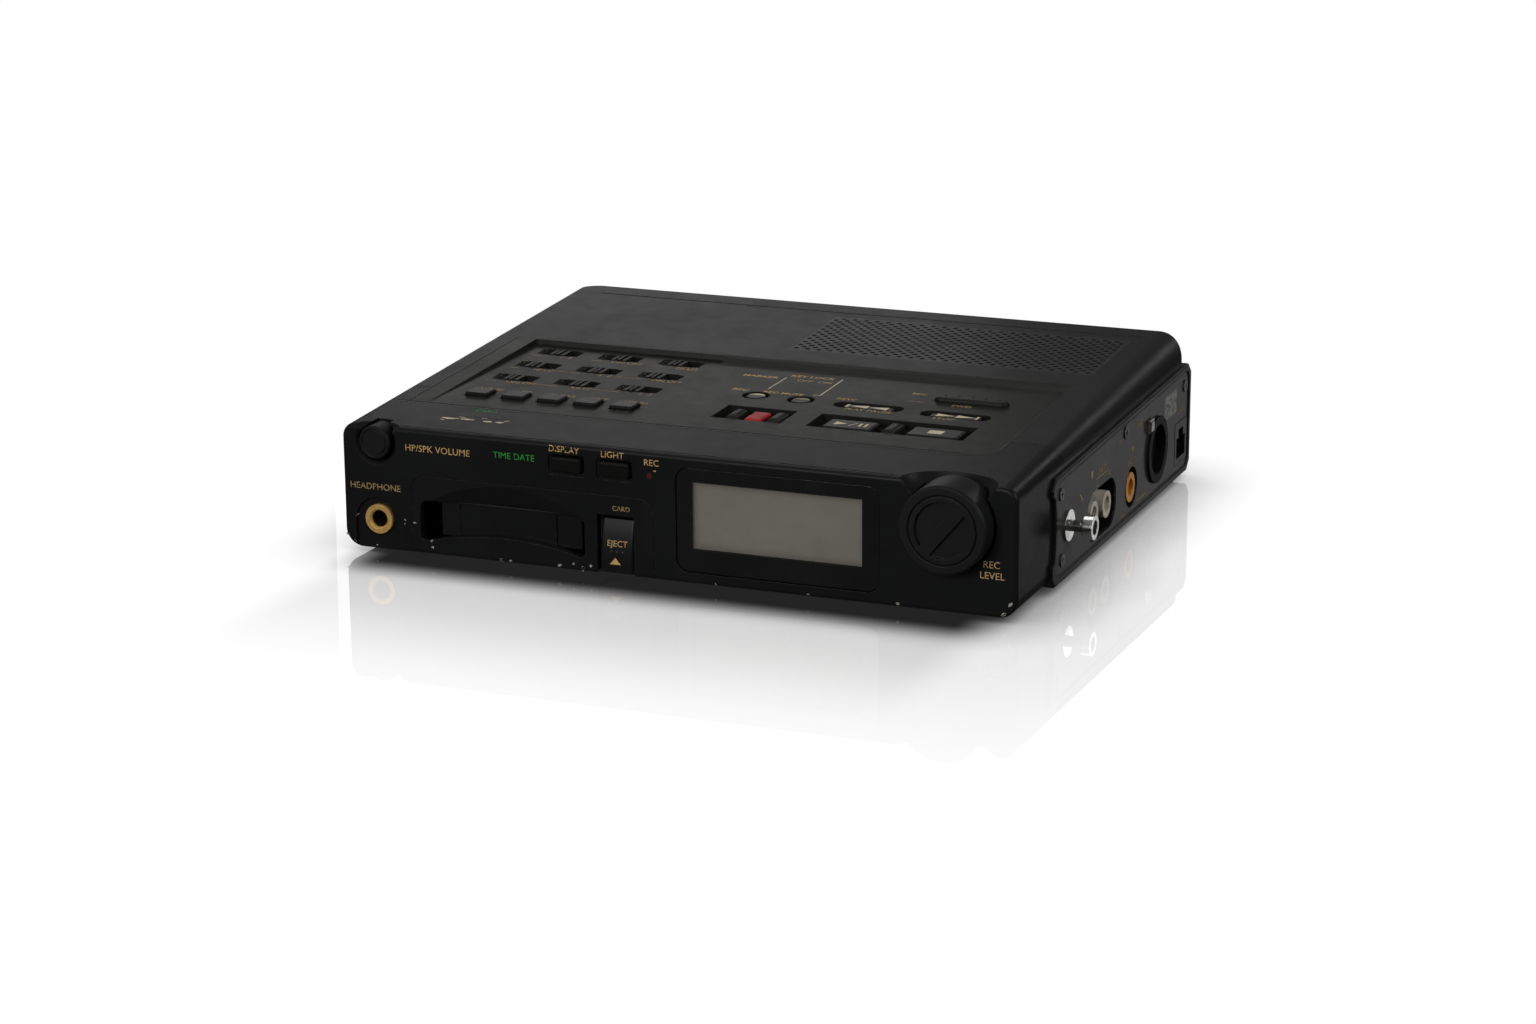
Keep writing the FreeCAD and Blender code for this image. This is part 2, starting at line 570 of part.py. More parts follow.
# sloped finger scoop above the slot
th = math.radians(67)
rs = 60.0 / math.cos(th)
scoop = doc.addObject("Part::Cylinder", "finger_scoop_round")
scoop.Radius = rs
scoop.Height = 900
dirv = V3(0, math.cos(th), -math.sin(th))
p0 = V3(66.5, 0, 28.6 - rs / math.cos(th)) - dirv * 450
scoop.Placement = FreeCAD.Placement(p0, FreeCAD.Rotation(V3(0, 0, 1), dirv))
scoop_lim = box2("finger_scoop_limit", "slot_x0+3.2", "slot_x1-1.8", -1, 3.6, "slot_z1-3", 32)
scoop_cut = common("finger_scoop", scoop, scoop_lim)
eject_well = box2("eject_well", "ej_x0", "ej_x1", -1, 6, -8, "ej_z1")
card_panel = piece(cut("card_panel_solid", bay1, slot_void, scoop_cut, eject_well), "card_panel")

# flap hung from its top edge behind the card opening
flap_a = box2("flap_leaf", 38.9, 95.9, 3.9, 5.3, 7.2, 20.4)
flap_b = cyl("flap_pin", 36.6, 4.9, 19.9, 1.1, 61.6, "x")
flap_g1 = box2("flap_groove_a", 46.4, 47.3, 3.5, 4.3, 6, 21.4)
flap_g2 = box2("flap_groove_b", 85.6, 86.9, 3.5, 4.5, 6, 21.4)
flap_leaf = cut("flap_leaf_cut", flap_a, flap_g1, flap_g2)
slot_flap = piece(fuse("slot_flap_solid", flap_leaf, flap_b), "slot_flap")

# eject lever: thumb tab, curved face, with a push rod
lev0 = box2("lever_block", "ej_x0+0.7", "ej_x1-0.5", 0.4, 8, 0.9, 20.6)
lev_face = cyl("lever_face", "ej_x0-1", 60.35, 3.0, 60, 20, "x")
lev1 = common("lever_tab", lev0, lev_face)
lev_r = fillet("lever_tab_soft", lev1, 1.2, lambda e: bb(e).YMax < 7.9 and (bb(e).ZMax - bb(e).ZMin) > 15)
rod = box2("lever_rod", "ej_x0+5", "ej_x0+9", 7.5, 13.6, 9, 13)
eject_lever = piece(fuse("eject_lever_solid", lev_r, rod), "eject_lever")

# card cage with the contact header at its back
cg0 = box2("cage_block", 37.4, 99.0, 17.6, 97, 6.6, 18.4)
cg1 = box2("cage_hollow", 39.4, 97.0, 17, 88, 9.0, 15.6)
cg2 = box2("cage_window", 46, 90, 26, 80, 14, 19)
cg3 = box2("cage_side_gate", 96, 100, 70, 88.5, 9.6, 14.6)
cg4 = box2("header_relief", 43, 93, 93.5, 98, 9, 19)
card_cage = piece(cut("card_cage_solid", cg0, cg1, cg2, cg3, cg4), "card_cage")
es1 = box2("ejector_bar", 100.0, 102.2, 20, 87.2, 10.4, 13.6)
es2 = box2("ejector_hook", 88, 100.4, 84.8, 87.0, 10.4, 13.6)
es3 = box2("ejector_toe", 102.0, 107.5, 20, 24, 10.4, 13.6)
ejector_slide = piece(fuse("ejector_slide_solid", es1, es2, es3), "ejector_slide")

# ============================================================ top cover
reg_t = box2("cover_region", -2, "case_w+2", "bezel_y", "case_d+4", "seam_z", 80)
cov0 = common("cover_blank", env, reg_t)
strip_void = fuse("strip_void", box2("strip_void_left", -3, "pl_x0+8", "bezel_y-1", "strip_y+gap", 40, 80),
                  box2("strip_void_right", "pl_x1-12", "case_w+3", "bezel_y-1", "strip_y+gap", 40, 80))
grille_void = box2("grille_opening", "gr_x0", "gr_x1", "gr_y0", "gr_y1", 40, 80)
rear_groove = box2("rear_groove", 13, 250, 203.2, 204.1, ztop(203.6) - 0.45, 70)
top_cover = piece(cut("top_cover_solid", cov0, hollow, strip_void, plate_void, grille_void, rear_groove), "top_cover")

# speaker grille panel, flush in the cover: a flat sheet with staggered round
# holes, laid on the slope of the cover. Its holes are wires of one face, which
# no sketch of this size solves well, so the sheet is made with Part's functions.
tilt = math.atan(slope)
gx0, gx1 = N["gr_x0"] + 0.02, N["gr_x1"] - 0.02
gl = (N["gr_y1"] - N["gr_y0"] - 0.14) / math.cos(tilt)
outer = Part.makePolygon([V3(gx0, 0, 0), V3(gx1, 0, 0), V3(gx1, gl, 0), V3(gx0, gl, 0), V3(gx0, 0, 0)])
rings = []
rows = 20
y_first = (gl - (rows - 1) * N["gr_rowp"]) / 2
for r in range(rows):
    off = 0 if r % 2 == 0 else N["gr_pitch"] / 2
    n = 26 if r % 2 == 0 else 25
    for c in range(n):
        x = 123.2 + off + c * N["gr_pitch"]
        rings.append(Part.Wire([Part.makeCircle(N["gr_hole_r"], V3(x, y_first + r * N["gr_rowp"], 0), V3(0, 0, 1))]))
face = Part.makeFace([outer] + rings, "Part::FaceMakerBullseye")
sheet_solid = face.extrude(V3(0, 0, -2.0))
gr3 = doc.addObject("Part::Feature", "speaker_grille_sheet")
gr3.Shape = sheet_solid
gr3.Placement = FreeCAD.Placement(V3(0, 0, 0), FreeCAD.Rotation(V3(1, 0, 0), math.degrees(tilt)))
POS[gr3.Name] = (0, "gr_y0+0.09", round(ztop(N["gr_y0"] + 0.09), 4))
speaker_grille = piece(gr3, "speaker_grille")

# ============================================================ bottom case
reg_l = box2("case_region", -2, "case_w+2", "bezel_y+gap", "case_d+4", -2, "seam_z-gap")
low0 = common("case_blank", env, reg_l)
bay_wall = box2("battery_walls", "bat_x0-1.8", "bat_x1+1.8", "bat_y0-1.8", "case_d-1", 0.5, "bat_z1+1.8")
low_hollow = cut("case_hollow", hollow, bay_wall)
low1 = cut("case_shell", low0, low_hollow)
bay_void = box2("battery_void", "bat_x0", "bat_x1", "bat_y0", 212, "wall", "bat_z1")
door_void = box2("door_opening", "bat_x0", "bat_x1", "bat_y0", "case_d+3", -2, "wall+0.05")
# shallow guides for the door's edges
door_guide = box2("door_guides", "bat_x0-1.2", "bat_x1+1.2", "bat_y0-0.6", "case_d+3", 0.9, 1.7)
lt = [bay_void, door_void, door_guide]
# round holes through the right wall
lt.append(slab("rca_pocket", "yz", (79.5, 116, 5.0, 24.2), 8.6, 8.6, 255.4, 12))
lt.append(cyl("dig_pocket", 255.4, "dig_y-0.5", "dig_z+0.2", 7.9, 12, "x"))
lt.append(cyl("xlr_wall_hole", 250, "xlr_y", "xlr_z", 12.1, 20, "x"))
lt.append(box2("latch_wall_hole", 250, 268, 155.2, 161.6, 28.9, 35.1))
lt.append(box2("mod_wall_hole", 250, 268, 194.6, 214.2, 5.1, 24.4))
low2 = cut("case_cut", low1, *lt)
pocket_cup = cut("rca_cup_walls",
                 slab("rca_cup", "yz", (78.1, 117.4, 3.6, 25.6), 9.8, 9.8, 254.2, 8.6),
                 slab("rca_cup_void", "yz", (79.5, 116, 5.0, 24.2), 8.6, 8.6, 255.6, 12))
cup_hole_a = cyl("cup_hole_a", 250, "rca_y", "rca_z", 4.25, 10, "x")
cup_hole_b = cyl("cup_hole_b", 250, "rca_y+rca_py", "rca_z", 4.25, 10, "x")
pocket_cup2 = cut("rca_cup_bored", pocket_cup, cup_hole_a, cup_hole_b)
dig_cup = cut("dig_cup_walls", cyl("dig_cup", 254.2, "dig_y-0.5", "dig_z+0.2", 9.2, 8.6, "x"),
              cyl("dig_cup_void", 255.6, "dig_y-0.5", "dig_z+0.2", 7.9, 12, "x"),
              cyl("dig_cup_hole", 250, "dig_y", "dig_z", 4.25, 10, "x"))
low3 = fuse("case_with_cups", low2, pocket_cup2, dig_cup)
bottom_case = piece(common("bottom_case_solid", low3, env), "bottom_case")

# battery door: slides out to the rear
dd0 = box2("door_block", "bat_x0+0.2", "bat_x1-0.2", "bat_y0+0.2", "case_d+3", -1, "wall-0.1")
dd1 = common("door_skin", env, dd0)
dd2 = common("door_edges", env, box2("door_edge_block", "bat_x0-0.9", "bat_x1+0.9", "bat_y0+0.2", "case_d-4", 1.05, 1.55))
ddg = [box2("door_rib_%d" % i, 60, 84, 196 + 3 * i, 197.4 + 3 * i, -1, 0.5) for i in range(4)]
battery_door = piece(cut("battery_door_solid", fuse("door_all", dd1, dd2), *ddg), "battery_door")

cells = []
for i in range(4):
    for j in range(2):
        cells.append(cyl("cell_%d%d" % (i, j), "bat_x0+1.1+%d*(cell_l+0.6)" % j, "bat_y0+%g" % (8.0 + 14.9 * i), "wall+8.0", "cell_r", "cell_l", "x"))
battery_cells = piece(group("battery_cell_group", *cells), "battery_cells")
cons = []
for i in range(4):
    y = "bat_y0+%g" % (8.0 + 14.9 * i)
    cons.append(box("contact_a%d" % i, "bat_x0+0.15", y + "-4.5", "wall+3.5", 0.6, 9, 9))
    cons.append(box("contact_b%d" % i, "bat_x1-0.75", y + "-4.5", "wall+3.5", 0.6, 9, 9))
battery_contacts = piece(group("battery_contact_group", *cons), "battery_contacts")

# ============================================================ right side frame
frame_out = profile("side_frame_block", [
    ("fr_y0+3.4", 0.7), ("fr_y1-4", 0.7), ("fr_y1", 4.5), ("fr_y1", 41.0), ("fr_y1-4", 44.7),
    ("fr_y0+3.6", 41.1), ("fr_y0", 37.6), ("fr_y0", 34.8), ("fr_y0+2.6", 33.4), ("fr_y0+3.4", 27), ("fr_y0+3.4", 17),
    ("fr_y0+2.6", 10.4), ("fr_y0", 9.0), ("fr_y0", 4.2)],
    "yz", 250, "case_w+fr_t-250")
frame_in = profile("side_frame_window", [
    ("fr_y0+8.2", 3.6), ("fr_y1-5.6", 3.6), ("fr_y1-3.2", 6), ("fr_y1-3.2", 39.4), ("fr_y1-5.6", 41.8),
    ("fr_y0+8.2", 38.4), ("fr_y0+5.8", 36)],
    "yz", 240, 40)
lip_in = profile("side_frame_lower", [
    ("fr_y0+5.8", 36), ("fr_y0+5.8", 6), ("fr_y0+8.2", 3.6), ("fr_y0+14", 3.6), ("fr_y0+14", 36)], "yz", 240, 40)
frame_win = fuse("side_frame_opening", frame_in, lip_in)
frame_cut = cut("side_frame_shell", frame_out, frame_win, env)
jack_frame = piece(fillet("side_frame_soft", frame_cut, 0.8,
                          lambda e: bb(e).XMin > N["case_w"] + N["fr_t"] - 0.01), "jack_frame")

# metal jack plate inside the frame
pp = profile("jack_sheet", [
    ("fr_y0+8.3", 3.75), ("fr_y1-5.7", 3.75), ("fr_y1-3.35", 6.1), ("fr_y1-3.35", 39.3), ("fr_y1-5.7", 41.6),
    ("fr_y0+8.3", 38.2), ("fr_y0+5.95", 35.9), ("fr_y0+5.95", 6.1)], "yz", "case_w", 0.8)
pt = []
pt.append(slab("jack_sheet_rca", "yz", (79.5, 116, 5.0, 24.2), 8.6, 8.6, 260, 12))
pt.append(cyl("jack_sheet_dig", 260, "dig_y-0.5", "dig_z+0.2", 7.9, 12, "x"))
pt.append(cyl("jack_sheet_xlr", 260, "xlr_y", "xlr_z", 12.3, 12, "x"))
pt.append(box2("jack_sheet_latch", 260, 268, 155.4, 161.4, 29.1, 34.9))
pt.append(box2("jack_sheet_mod", 260, 268, 195.6, 213.0, 6.1, 23.4))
pt.append(cyl("jack_sheet_post", 260, "post_y", "post_z", "post_r+0.1", 12, "x"))
SCR = [(46.9, 33.6), (48.6, 8.7), (127, 37.0), (208.5, 36.4)]
for i, (y, z) in enumerate(SCR):
    pt.append(cyl("jack_sheet_screw_%d" % i, 260, y, z, 1.6, 12, "x"))
jack_plate = piece(cut("jack_plate_solid", pp, *pt), "jack_plate")

# strap posts, one each side; shaft, foot flange and hollow-ended head
posts = []
for side, nm in ((1, "right"), (-1, "left")):
    x0 = "case_w+0.8" if side > 0 else "0"
    parts_ = []
    if side > 0:
        parts_.append(cyl("post_flange_" + nm, "case_w+0.8", "post_y", "post_z", 5.9, 0.9, "x"))
        parts_.append(cyl("post_shaft_" + nm, "case_w-8", "post_y", "post_z", "post_r", "post_len+5", "x"))
        parts_.append(cone("post_neck_" + nm, "case_w+post_len-4.2", "post_y", "post_z", "post_r", "post_head_r", 1.4, "x"))
        hd = cyl("post_head_" + nm, "case_w+post_len-2.8", "post_y", "post_z", "post_head_r", 3.6, "x")
        hole = cyl("post_hole_" + nm, "case_w+post_len-2", "post_y", "post_z", 2.7, 4, "x")
    else:
        parts_.append(cyl("post_flange_" + nm, -0.9, "post_y", "post_z", 5.9, 0.9, "x"))
        parts_.append(cyl("post_shaft_" + nm, "3-post_len", "post_y", "post_z", "post_r", "post_len+5", "x"))
        parts_.append(cone("post_neck_" + nm, "2.8-post_len", "post_y", "post_z", "post_head_r", "post_r", 1.4, "x"))
        hd = cyl("post_head_" + nm, "-0.8-post_len", "post_y", "post_z", "post_head_r", 3.6, "x")
        hole = cyl("post_hole_" + nm, "-2-post_len", "post_y", "post_z", 2.7, 4, "x")
    body = fuse("post_body_" + nm, hd, *parts_)
    posts.append(cut("post_" + nm, body, hole))
strap_posts = piece(group("strap_post_pair", *posts), "strap_posts")

# phono sockets: coloured ring around a metal barrel
def phono(tag, y, z, r):
    ring = cyl("ring_" + tag, 255.7, y, z, r, 8.7, "x")
    bar = cyl("barrel_" + tag, 243, y, z, 4.1, 13, "x")
    blk = box("block_" + tag, 240, "(%s)-6" % y, "(%s)-6" % z, 12, 12, 12)
    a = fuse("solid_" + tag, ring, bar, blk)
    bore = cyl("bore_" + tag, 256.6, y, z, 3.3, 12, "x")
    b = cut("bored_" + tag, a, bore)
    pin = cyl("contact_" + tag, 256, y, z, 1.5, 6.6, "x")
    pin_h = cyl("contact_bore_" + tag, 257, y, z, 0.9, 8, "x")
    return fuse("phono_" + tag, b, cut("contact_tube_" + tag, pin, pin_h))


line_sockets = piece(group("line_socket_pair", phono("left", "rca_y", "rca_z", "rca_r"),
                           phono("right", "rca_y+rca_py", "rca_z", "rca_r")), "line_sockets")
digital_socket = piece(phono("digital", "dig_y", "dig_z", "dig_r"), "digital_socket")

# three-pole microphone socket
xa = fuse("xlr_shell", cyl("xlr_flange", "case_w+0.8", "xlr_y", "xlr_z", "xlr_r", 1.2, "x"),
          cyl("xlr_barrel", 240, "xlr_y", "xlr_z", 11.9, "case_w+0.8-240", "x"))
ring_void = cut("xlr_ring_void", cyl("xlr_void_outer", 252, "xlr_y", "xlr_z", 9.8, 20, "x"),
                cyl("xlr_core", 250, "xlr_y", "xlr_z", 7.9, 24, "x"))
xv = [ring_void, cyl("xlr_core_top", 262.4, "xlr_y", "xlr_z", 8.0, 10, "x"),
      box2("xlr_latch_notch", 257.6, 268, 155.3, 161.5, 29.0, 35.0)]
for i, a in enumerate((30, 150, 270)):
    xv.append(cyl("xlr_pole_%d" % i, 254, "xlr_y+(%.4f)" % (4.3 * math.cos(math.radians(a))),
                  "xlr_z+(%.4f)" % (4.3 * math.sin(math.radians(a))), 1.35, 20, "x"))
xlr_socket = piece(cut("xlr_socket_solid", xa, *xv), "xlr_socket")
xl = box2("latch_block", "case_w-6", "case_w+2.6", 155.7, 161.1, 29.4, 34.6)
xlr_latch = piece(fillet("latch_soft", xl, 0.9, lambda e: bb(e).XMin > N["case_w"] + 2.5), "xlr_latch")

# modular line socket
ms0 = box2("mod_block", 246, "case_w+0.9", 195.8, 212.8, 6.3, 23.2)
ms1 = box2("mod_mouth", 252, 268, 198.3, 210.3, 8.6, 16.8)
ms2 = box2("mod_key", 252, 268, 201.2, 207.4, 16.6, 20.2)
modular_socket = piece(cut("modular_socket_solid", ms0, ms1, ms2), "modular_socket")

# ============================================================ front pieces
lcd_window = piece(slab("lcd_cover", "xz", ("lcd_x0+0.35", "lcd_x1-0.35", "lcd_z0+0.35", "lcd_z1-0.35"), "lcd_r-0.35", "lcd_r-0.35", 0.55, 1.5), "lcd_window")
lp = fuse("lcd_module", box2("lcd_glass", 139.2, 208.0, 2.6, 5.6, 11.2, 39.8),
          box2("lcd_board", 136, 211, 5.6, 7.2, 8.5, 42))
lcd_panel = piece(lp, "lcd_panel")
hj0 = fuse("jack_solid", cyl("jack_ring", "jack_x", -0.5, "jack_z", "jack_r", 1.7, "y"),
           cyl("jack_bush", "jack_x", 0.8, "jack_z", 4.5, 5, "y"),
           box2("jack_body", "jack_x-6", "jack_x+6", "front_wall+0.05", 24, 6, 18))
hj1 = cyl("jack_bore", "jack_x", -2, "jack_z", "jack_bore_r", 24, "y")
hj2 = cone("jack_mouth", "jack_x", -0.6, "jack_z", 3.95, 3.1, 0.9, "y")
headphone_jack = piece(cut("headphone_jack_solid", hj0, hj1, hj2), "headphone_jack")
rec_led = piece(fuse("rec_led_solid", cyl("led_lens", 124.6, 0.1, 38.9, 1.05, 4, "y"),
                     cyl("led_flange", 124.6, 3.5, 38.9, 1.9, 2.2, "y")), "rec_led")
vp = cut("volume_pot_solid", box2("vpot_block", "vol_x-5.5", "vol_x+6", 11.6, 20, "vol_z-10", "vol_z+2.8"),
         cyl("vpot_bore", "vol_x", 10, "vol_z", 1.66, 9, "y"))
volume_pot = piece(vp, "volume_pot")
lpt = cut("level_pot_solid", fuse("lpot_all", box2("lpot_block", "lvl_x-10", "lvl_x+10", 16.4, 28, "lvl_z-10", "lvl_z+10"),
          cyl("lpot_bush", "lvl_x", 13.2, "lvl_z", 7, 3.4, "y")),
          cyl("lpot_bore", "lvl_x", 10, "lvl_z", 4.1, 7.5, "y"), cyl("lpot_bore_in", "lvl_x", 10, "lvl_z", 2.06, 16, "y"))
level_pot = piece(lpt, "level_pot")

# ============================================================ knobs (revolved)
def plane_of(body, role):
    for f in body.Origin.OriginFeatures:
        if f.Role == role:
            return f


def body_sketch(body, name, role, pts, constrain=True):
    import Sketcher
    sk = body.newObject("Sketcher::SketchObject", name)
    sk.AttachmentSupport = (plane_of(body, role), [""])
    sk.MapMode = "FlatFace"
    C = Sketcher.Constraint
    n = len(pts)
    vals = [(num(p[0]), num(p[1])) for p in pts]
    for i in range(n):
        a, b = vals[i], vals[(i + 1) % n]
        sk.addGeometry(Part.LineSegment(V3(a[0], a[1], 0), V3(b[0], b[1], 0)), False)
    for i in range(n):
        sk.addConstraint(C("Coincident", i, 2, (i + 1) % n, 1))
    for i in range(n):
        for kind, j, tag in (("DistanceX", 0, "u"), ("DistanceY", 1, "v")):
            k = sk.addConstraint(C(kind, -1, 1, i, 1, vals[i][j]))
            nm = "%s%d" % (tag, i)
            sk.renameConstraint(k, nm)
            if isinstance(pts[i][j], str):
                sk.setExpression("Constraints." + nm, ex(pts[i][j]))
    return sk


def turned(name, label, pts, x, y, z, extra=None):
    # knob turned about the y axis; points are (radius, y)
    body = doc.addObject("PartDesign::Body", name)
    sk = body_sketch(body, name + "_profile", "XY_Plane", pts)
    doc.recompute()
    rev = body.newObject("PartDesign::Revolution", name + "_turn")
    rev.Profile = sk
    rev.ReferenceAxis = (sk, ["V_Axis"])
    rev.Angle = 360
    doc.recompute()
    if extra:
        extra(body)
    doc.recompute()
    POS[body.Name] = (x, y, z)
    return piece(body, label)


volume_knob = turned("vol_knob", "volume_knob", [
    (0, -1.3), ("vol_r-1.7", -1.3), ("vol_r-1.5", -0.9), ("vol_r-1.2", -0.9), ("vol_r-1.0", -1.3), ("vol_r-0.5", -1.3),
    ("vol_r", -0.8), ("vol_r", 7), (1.6, 7), (1.6, 17), (0, 17)], "vol_x", 0, "vol_z")
rec_outer = turned("lvl_ring", "rec_level_outer_knob", [
    ("lvl_inner_r+0.14", "0-lvl_out+0.35"), ("lvl_inner_r+0.5", "0-lvl_out"), ("lvl_r-0.8", "0-lvl_out"), ("lvl_r", "0.8-lvl_out"),
    ("lvl_r", 6.2), (3.98, 6.2), (3.98, 16.6), (2.05, 16.6), (2.05, "5.4-lvl_out"), ("lvl_inner_r+0.14", "5.4-lvl_out")],
    "lvl_x", 0, "lvl_z")


def half_moons(body):
    # two sunken half discs either side of a diagonal finger bar
    import Sketcher
    C = Sketcher.Constraint
    sk = body.newObject("Sketcher::SketchObject", "finger_recess_profile")
    sk.AttachmentSupport = (plane_of(body, "XZ_Plane"), [""])
    sk.MapMode = "FlatFace"
    sk.AttachmentOffset = FreeCAD.Placement(V3(0, 0, N["lvl_out"]), FreeCAD.Rotation())
    R, h = 10.3, 2.35
    ang = math.radians(50)
    k = 0
    for s in (1, -1):
        a = math.asin(h / R)
        c, sn = math.cos(ang), math.sin(ang)
        rot = lambda x, y: V3(x * c - y * sn, x * sn + y * c, 0)
        if s > 0:
            t0, t1 = a + ang, math.pi - a + ang
        else:
            t0, t1 = math.pi + a + ang, 2 * math.pi - a + ang
        p0 = V3(R * math.cos(t0), R * math.sin(t0), 0)
        p1 = V3(R * math.cos(t1), R * math.sin(t1), 0)
        i = sk.addGeometry(Part.ArcOfCircle(Part.Circle(V3(0, 0, 0), V3(0, 0, 1), R), t0, t1), False)
        j = sk.addGeometry(Part.LineSegment(p1, p0), False)
        sk.addConstraint(C("Coincident", i, 2, j, 1))
        sk.addConstraint(C("Coincident", j, 2, i, 1))
        sk.addConstraint(C("Coincident", i, 3, -1, 1))
        sk.addConstraint(C("Radius", i, R))
    doc.recompute()
    pk = body.newObject("PartDesign::Pocket", "finger_recess")
    pk.Profile = sk
    pk.Length = 1.5
    v0 = body.Shape.Volume
    doc.recompute()
    if body.Shape.Volume > v0 - 50:
        pk.Reversed = True
        doc.recompute()


rec_inner = turned("lvl_disc", "rec_level_inner_knob", [
    (0, "0-lvl_out"), ("lvl_inner_r-0.35", "0-lvl_out"), ("lvl_inner_r", "0.35-lvl_out"), ("lvl_inner_r", "5.2-lvl_out"), (2.0, "5.2-lvl_out"),
    (2.0, 24), (0, 24)], "lvl_x", 0, "lvl_z", half_moons)


# ============================================================ keys and buttons
def key(name, label, cx, cy, z0, z1, w, d, rc, rt, stem_w, stem_d, stem_z, slab_top=None):
    # rounded cap padded upwards with a stem padded downwards
    body = doc.addObject("PartDesign::Body", name)
    sk = body.newObject("Sketcher::SketchObject", name + "_cap_outline")
    sk.AttachmentSupport = (plane_of(body, "XY_Plane"), [""])
    sk.MapMode = "FlatFace"
    rrect(sk, "0-%g" % (num(w) / 2), num(w) / 2, "0-%g" % (num(d) / 2), num(d) / 2, rc, rc)
    doc.recompute()
    pad = body.newObject("PartDesign::Pad", name + "_cap")
    pad.Profile = sk
    pad.Length = z1 - z0
    doc.recompute()
    if rt > 0:
        edges = ["Edge%d" % (i + 1) for i, e in enumerate(pad.Shape.Edges) if bb(e).ZMin > (z1 - z0) - 0.01]
        fl_ = body.newObject("PartDesign::Fillet", name + "_soft")
        fl_.Base = (pad, edges)
        fl_.Radius = rt
        doc.recompute()
    if stem_z is not None:
        s2 = body.newObject("Sketcher::SketchObject", name + "_stem_outline")
        s2.AttachmentSupport = (plane_of(body, "XY_Plane"), [""])
        s2.MapMode = "FlatFace"
        rrect(s2, "0-%g" % (stem_w / 2), stem_w / 2, "0-%g" % (stem_d / 2), stem_d / 2, 0.4, 0.4)
        doc.recompute()
        p2 = body.newObject("PartDesign::Pad", name + "_stem")
        p2.Profile = s2
        p2.Length = z0 - stem_z
        p2.Reversed = True
        doc.recompute()
    POS[body.Name] = (cx, cy, z0)
    return piece(body, label)


KB_TOP = 41.2
STEM = KB_TOP + 1.3
for i in range(5):
    zt = zp(N["key_y"]) + N["key_up"]
    key("keypad_key_%d" % (i + 1), "keypad_button_%d" % (i + 1), "key_x+%d*key_px" % i, "key_y",
        zp(N["key_y"]) - 1.9, zt, "key_w", "key_d", 1.0, 0.7, 4, 4, STEM)
zfl = N["pz_front"] - N["tr_depth"]
key("record_key", "rec_button", 143.6, 57.25, zfl - 1.0, N["pz_front"] + 0.5, 6.8, 11.4, 0.7, 0.9, 4, 6, STEM)
key("play_key", "play_pause_button", 180.6, 56.75, zfl - 1.0, N["pz_front"] + 0.55, 19.0, 11.9, 0.8, 0.9, 10, 6, STEM)
key("stop_key", "stop_button", 213.8, 56.75, zfl - 1.0, N["pz_front"] + 0.55, 19.8, 11.9, 0.8, 0.9, 10, 6, STEM)
key("rewind_key", "rewind_button", REW[0], REW[1], 45.6, zp(REW[1]) - 0.35, 19.6, 5.0, 0.9, 0.7, 8, 3, STEM)
key("forward_key", "forward_button", FWD[0], FWD[1], 45.6, zp(FWD[1]) - 0.35, 19.6, 5.0, 0.9, 0.7, 8, 3, STEM)
key("round_key_a", "marker_button", ROUND[0][0], ROUND[0][1], 45.6, zp(ROUND[0][1]) - 0.2, 7.8, 7.8, 3.85, 0.8, 3, 3, STEM)
key("round_key_b", "lock_button", ROUND[1][0], ROUND[1][1], 45.6, zp(ROUND[1][1]) - 0.2, 7.8, 7.8, 3.85, 0.8, 3, 3, STEM)


def front_key(name, label, cx):
    cap = slab(name + "_cap", "xz", (cx + "-5.8", cx + "+5.8", "fk_z-2.7", "fk_z+2.7"), 0.8, 0.8, -1.7, 6.4)
    cap2 = fillet(name + "_soft", cap, 0.7, lambda e: bb(e).YMax < -1.69)
    fl_ = box2(name + "_flange", cx + "-7.2", cx + "+7.2", 4.7, 5.7, "fk_z-3.6", "fk_z+3.6")
    return piece(fuse(name + "_solid", cap2, fl_), label)


front_key("display_key", "display_button", "dsp_x")
front_key("light_key", "light_button", "lgt_x")

# slide switch caps and their bodies on the key board
REST = [-0.8, 1.2, -2.0, -1.4, -0.4, -1.8, 0.0, 0.6, -1.6]
bodies_ = []
for r in range(3):
    for c in range(3):
        n = r * 3 + c + 1
        z = round(zp(N["sw_y"] + r * N["sw_py"]), 3)
        cx = "sw_x+%d*sw_px" % c
        cy = "sw_y+%d*sw_py" % r
        off = REST[n - 1]
        bx = "%s+%g" % (cx, off)
        cap = box("swcap_%d" % n, bx + "-sw_cap_w/2", cy + "-sw_cap_d/2", z - 2.9, "sw_cap_w", "sw_cap_d", 2.3)
        r1 = box("swridge_a_%d" % n, bx + "-sw_cap_w/2", cy + "-sw_cap_d/2", z - 2.9, 1.5, "sw_cap_d", 3.1)
        r2 = box("swridge_b_%d" % n, bx + "-0.6", cy + "-sw_cap_d/2", z - 2.9, 1.2, "sw_cap_d", 3.3)
        r3 = box("swridge_c_%d" % n, bx + "+sw_cap_w/2-1.5", cy + "-sw_cap_d/2", z - 2.9, 1.5, "sw_cap_d", 3.1)
        st = box("swstem_%d" % n, bx + "-1", cy + "-1", z - 5.2, 2, 2, 2.6)
        piece(fuse("swlever_%d" % n, cap, r1, r2, r3, st), "switch_lever_%d" % n)
        blk = box("swbody_block_%d" % n, cx + "-9", cy + "-4.1", KB_TOP + 0.05, 18, 8.2, round(z - 3.2 - KB_TOP - 0.05, 3))
        slt = box("swbody_slot_%d" % n, cx + "-5.6", cy + "-1.3", z - 5.6, 11.2, 2.6, 4)
        bodies_.append(cut("swbody_%d" % n, blk, slt))
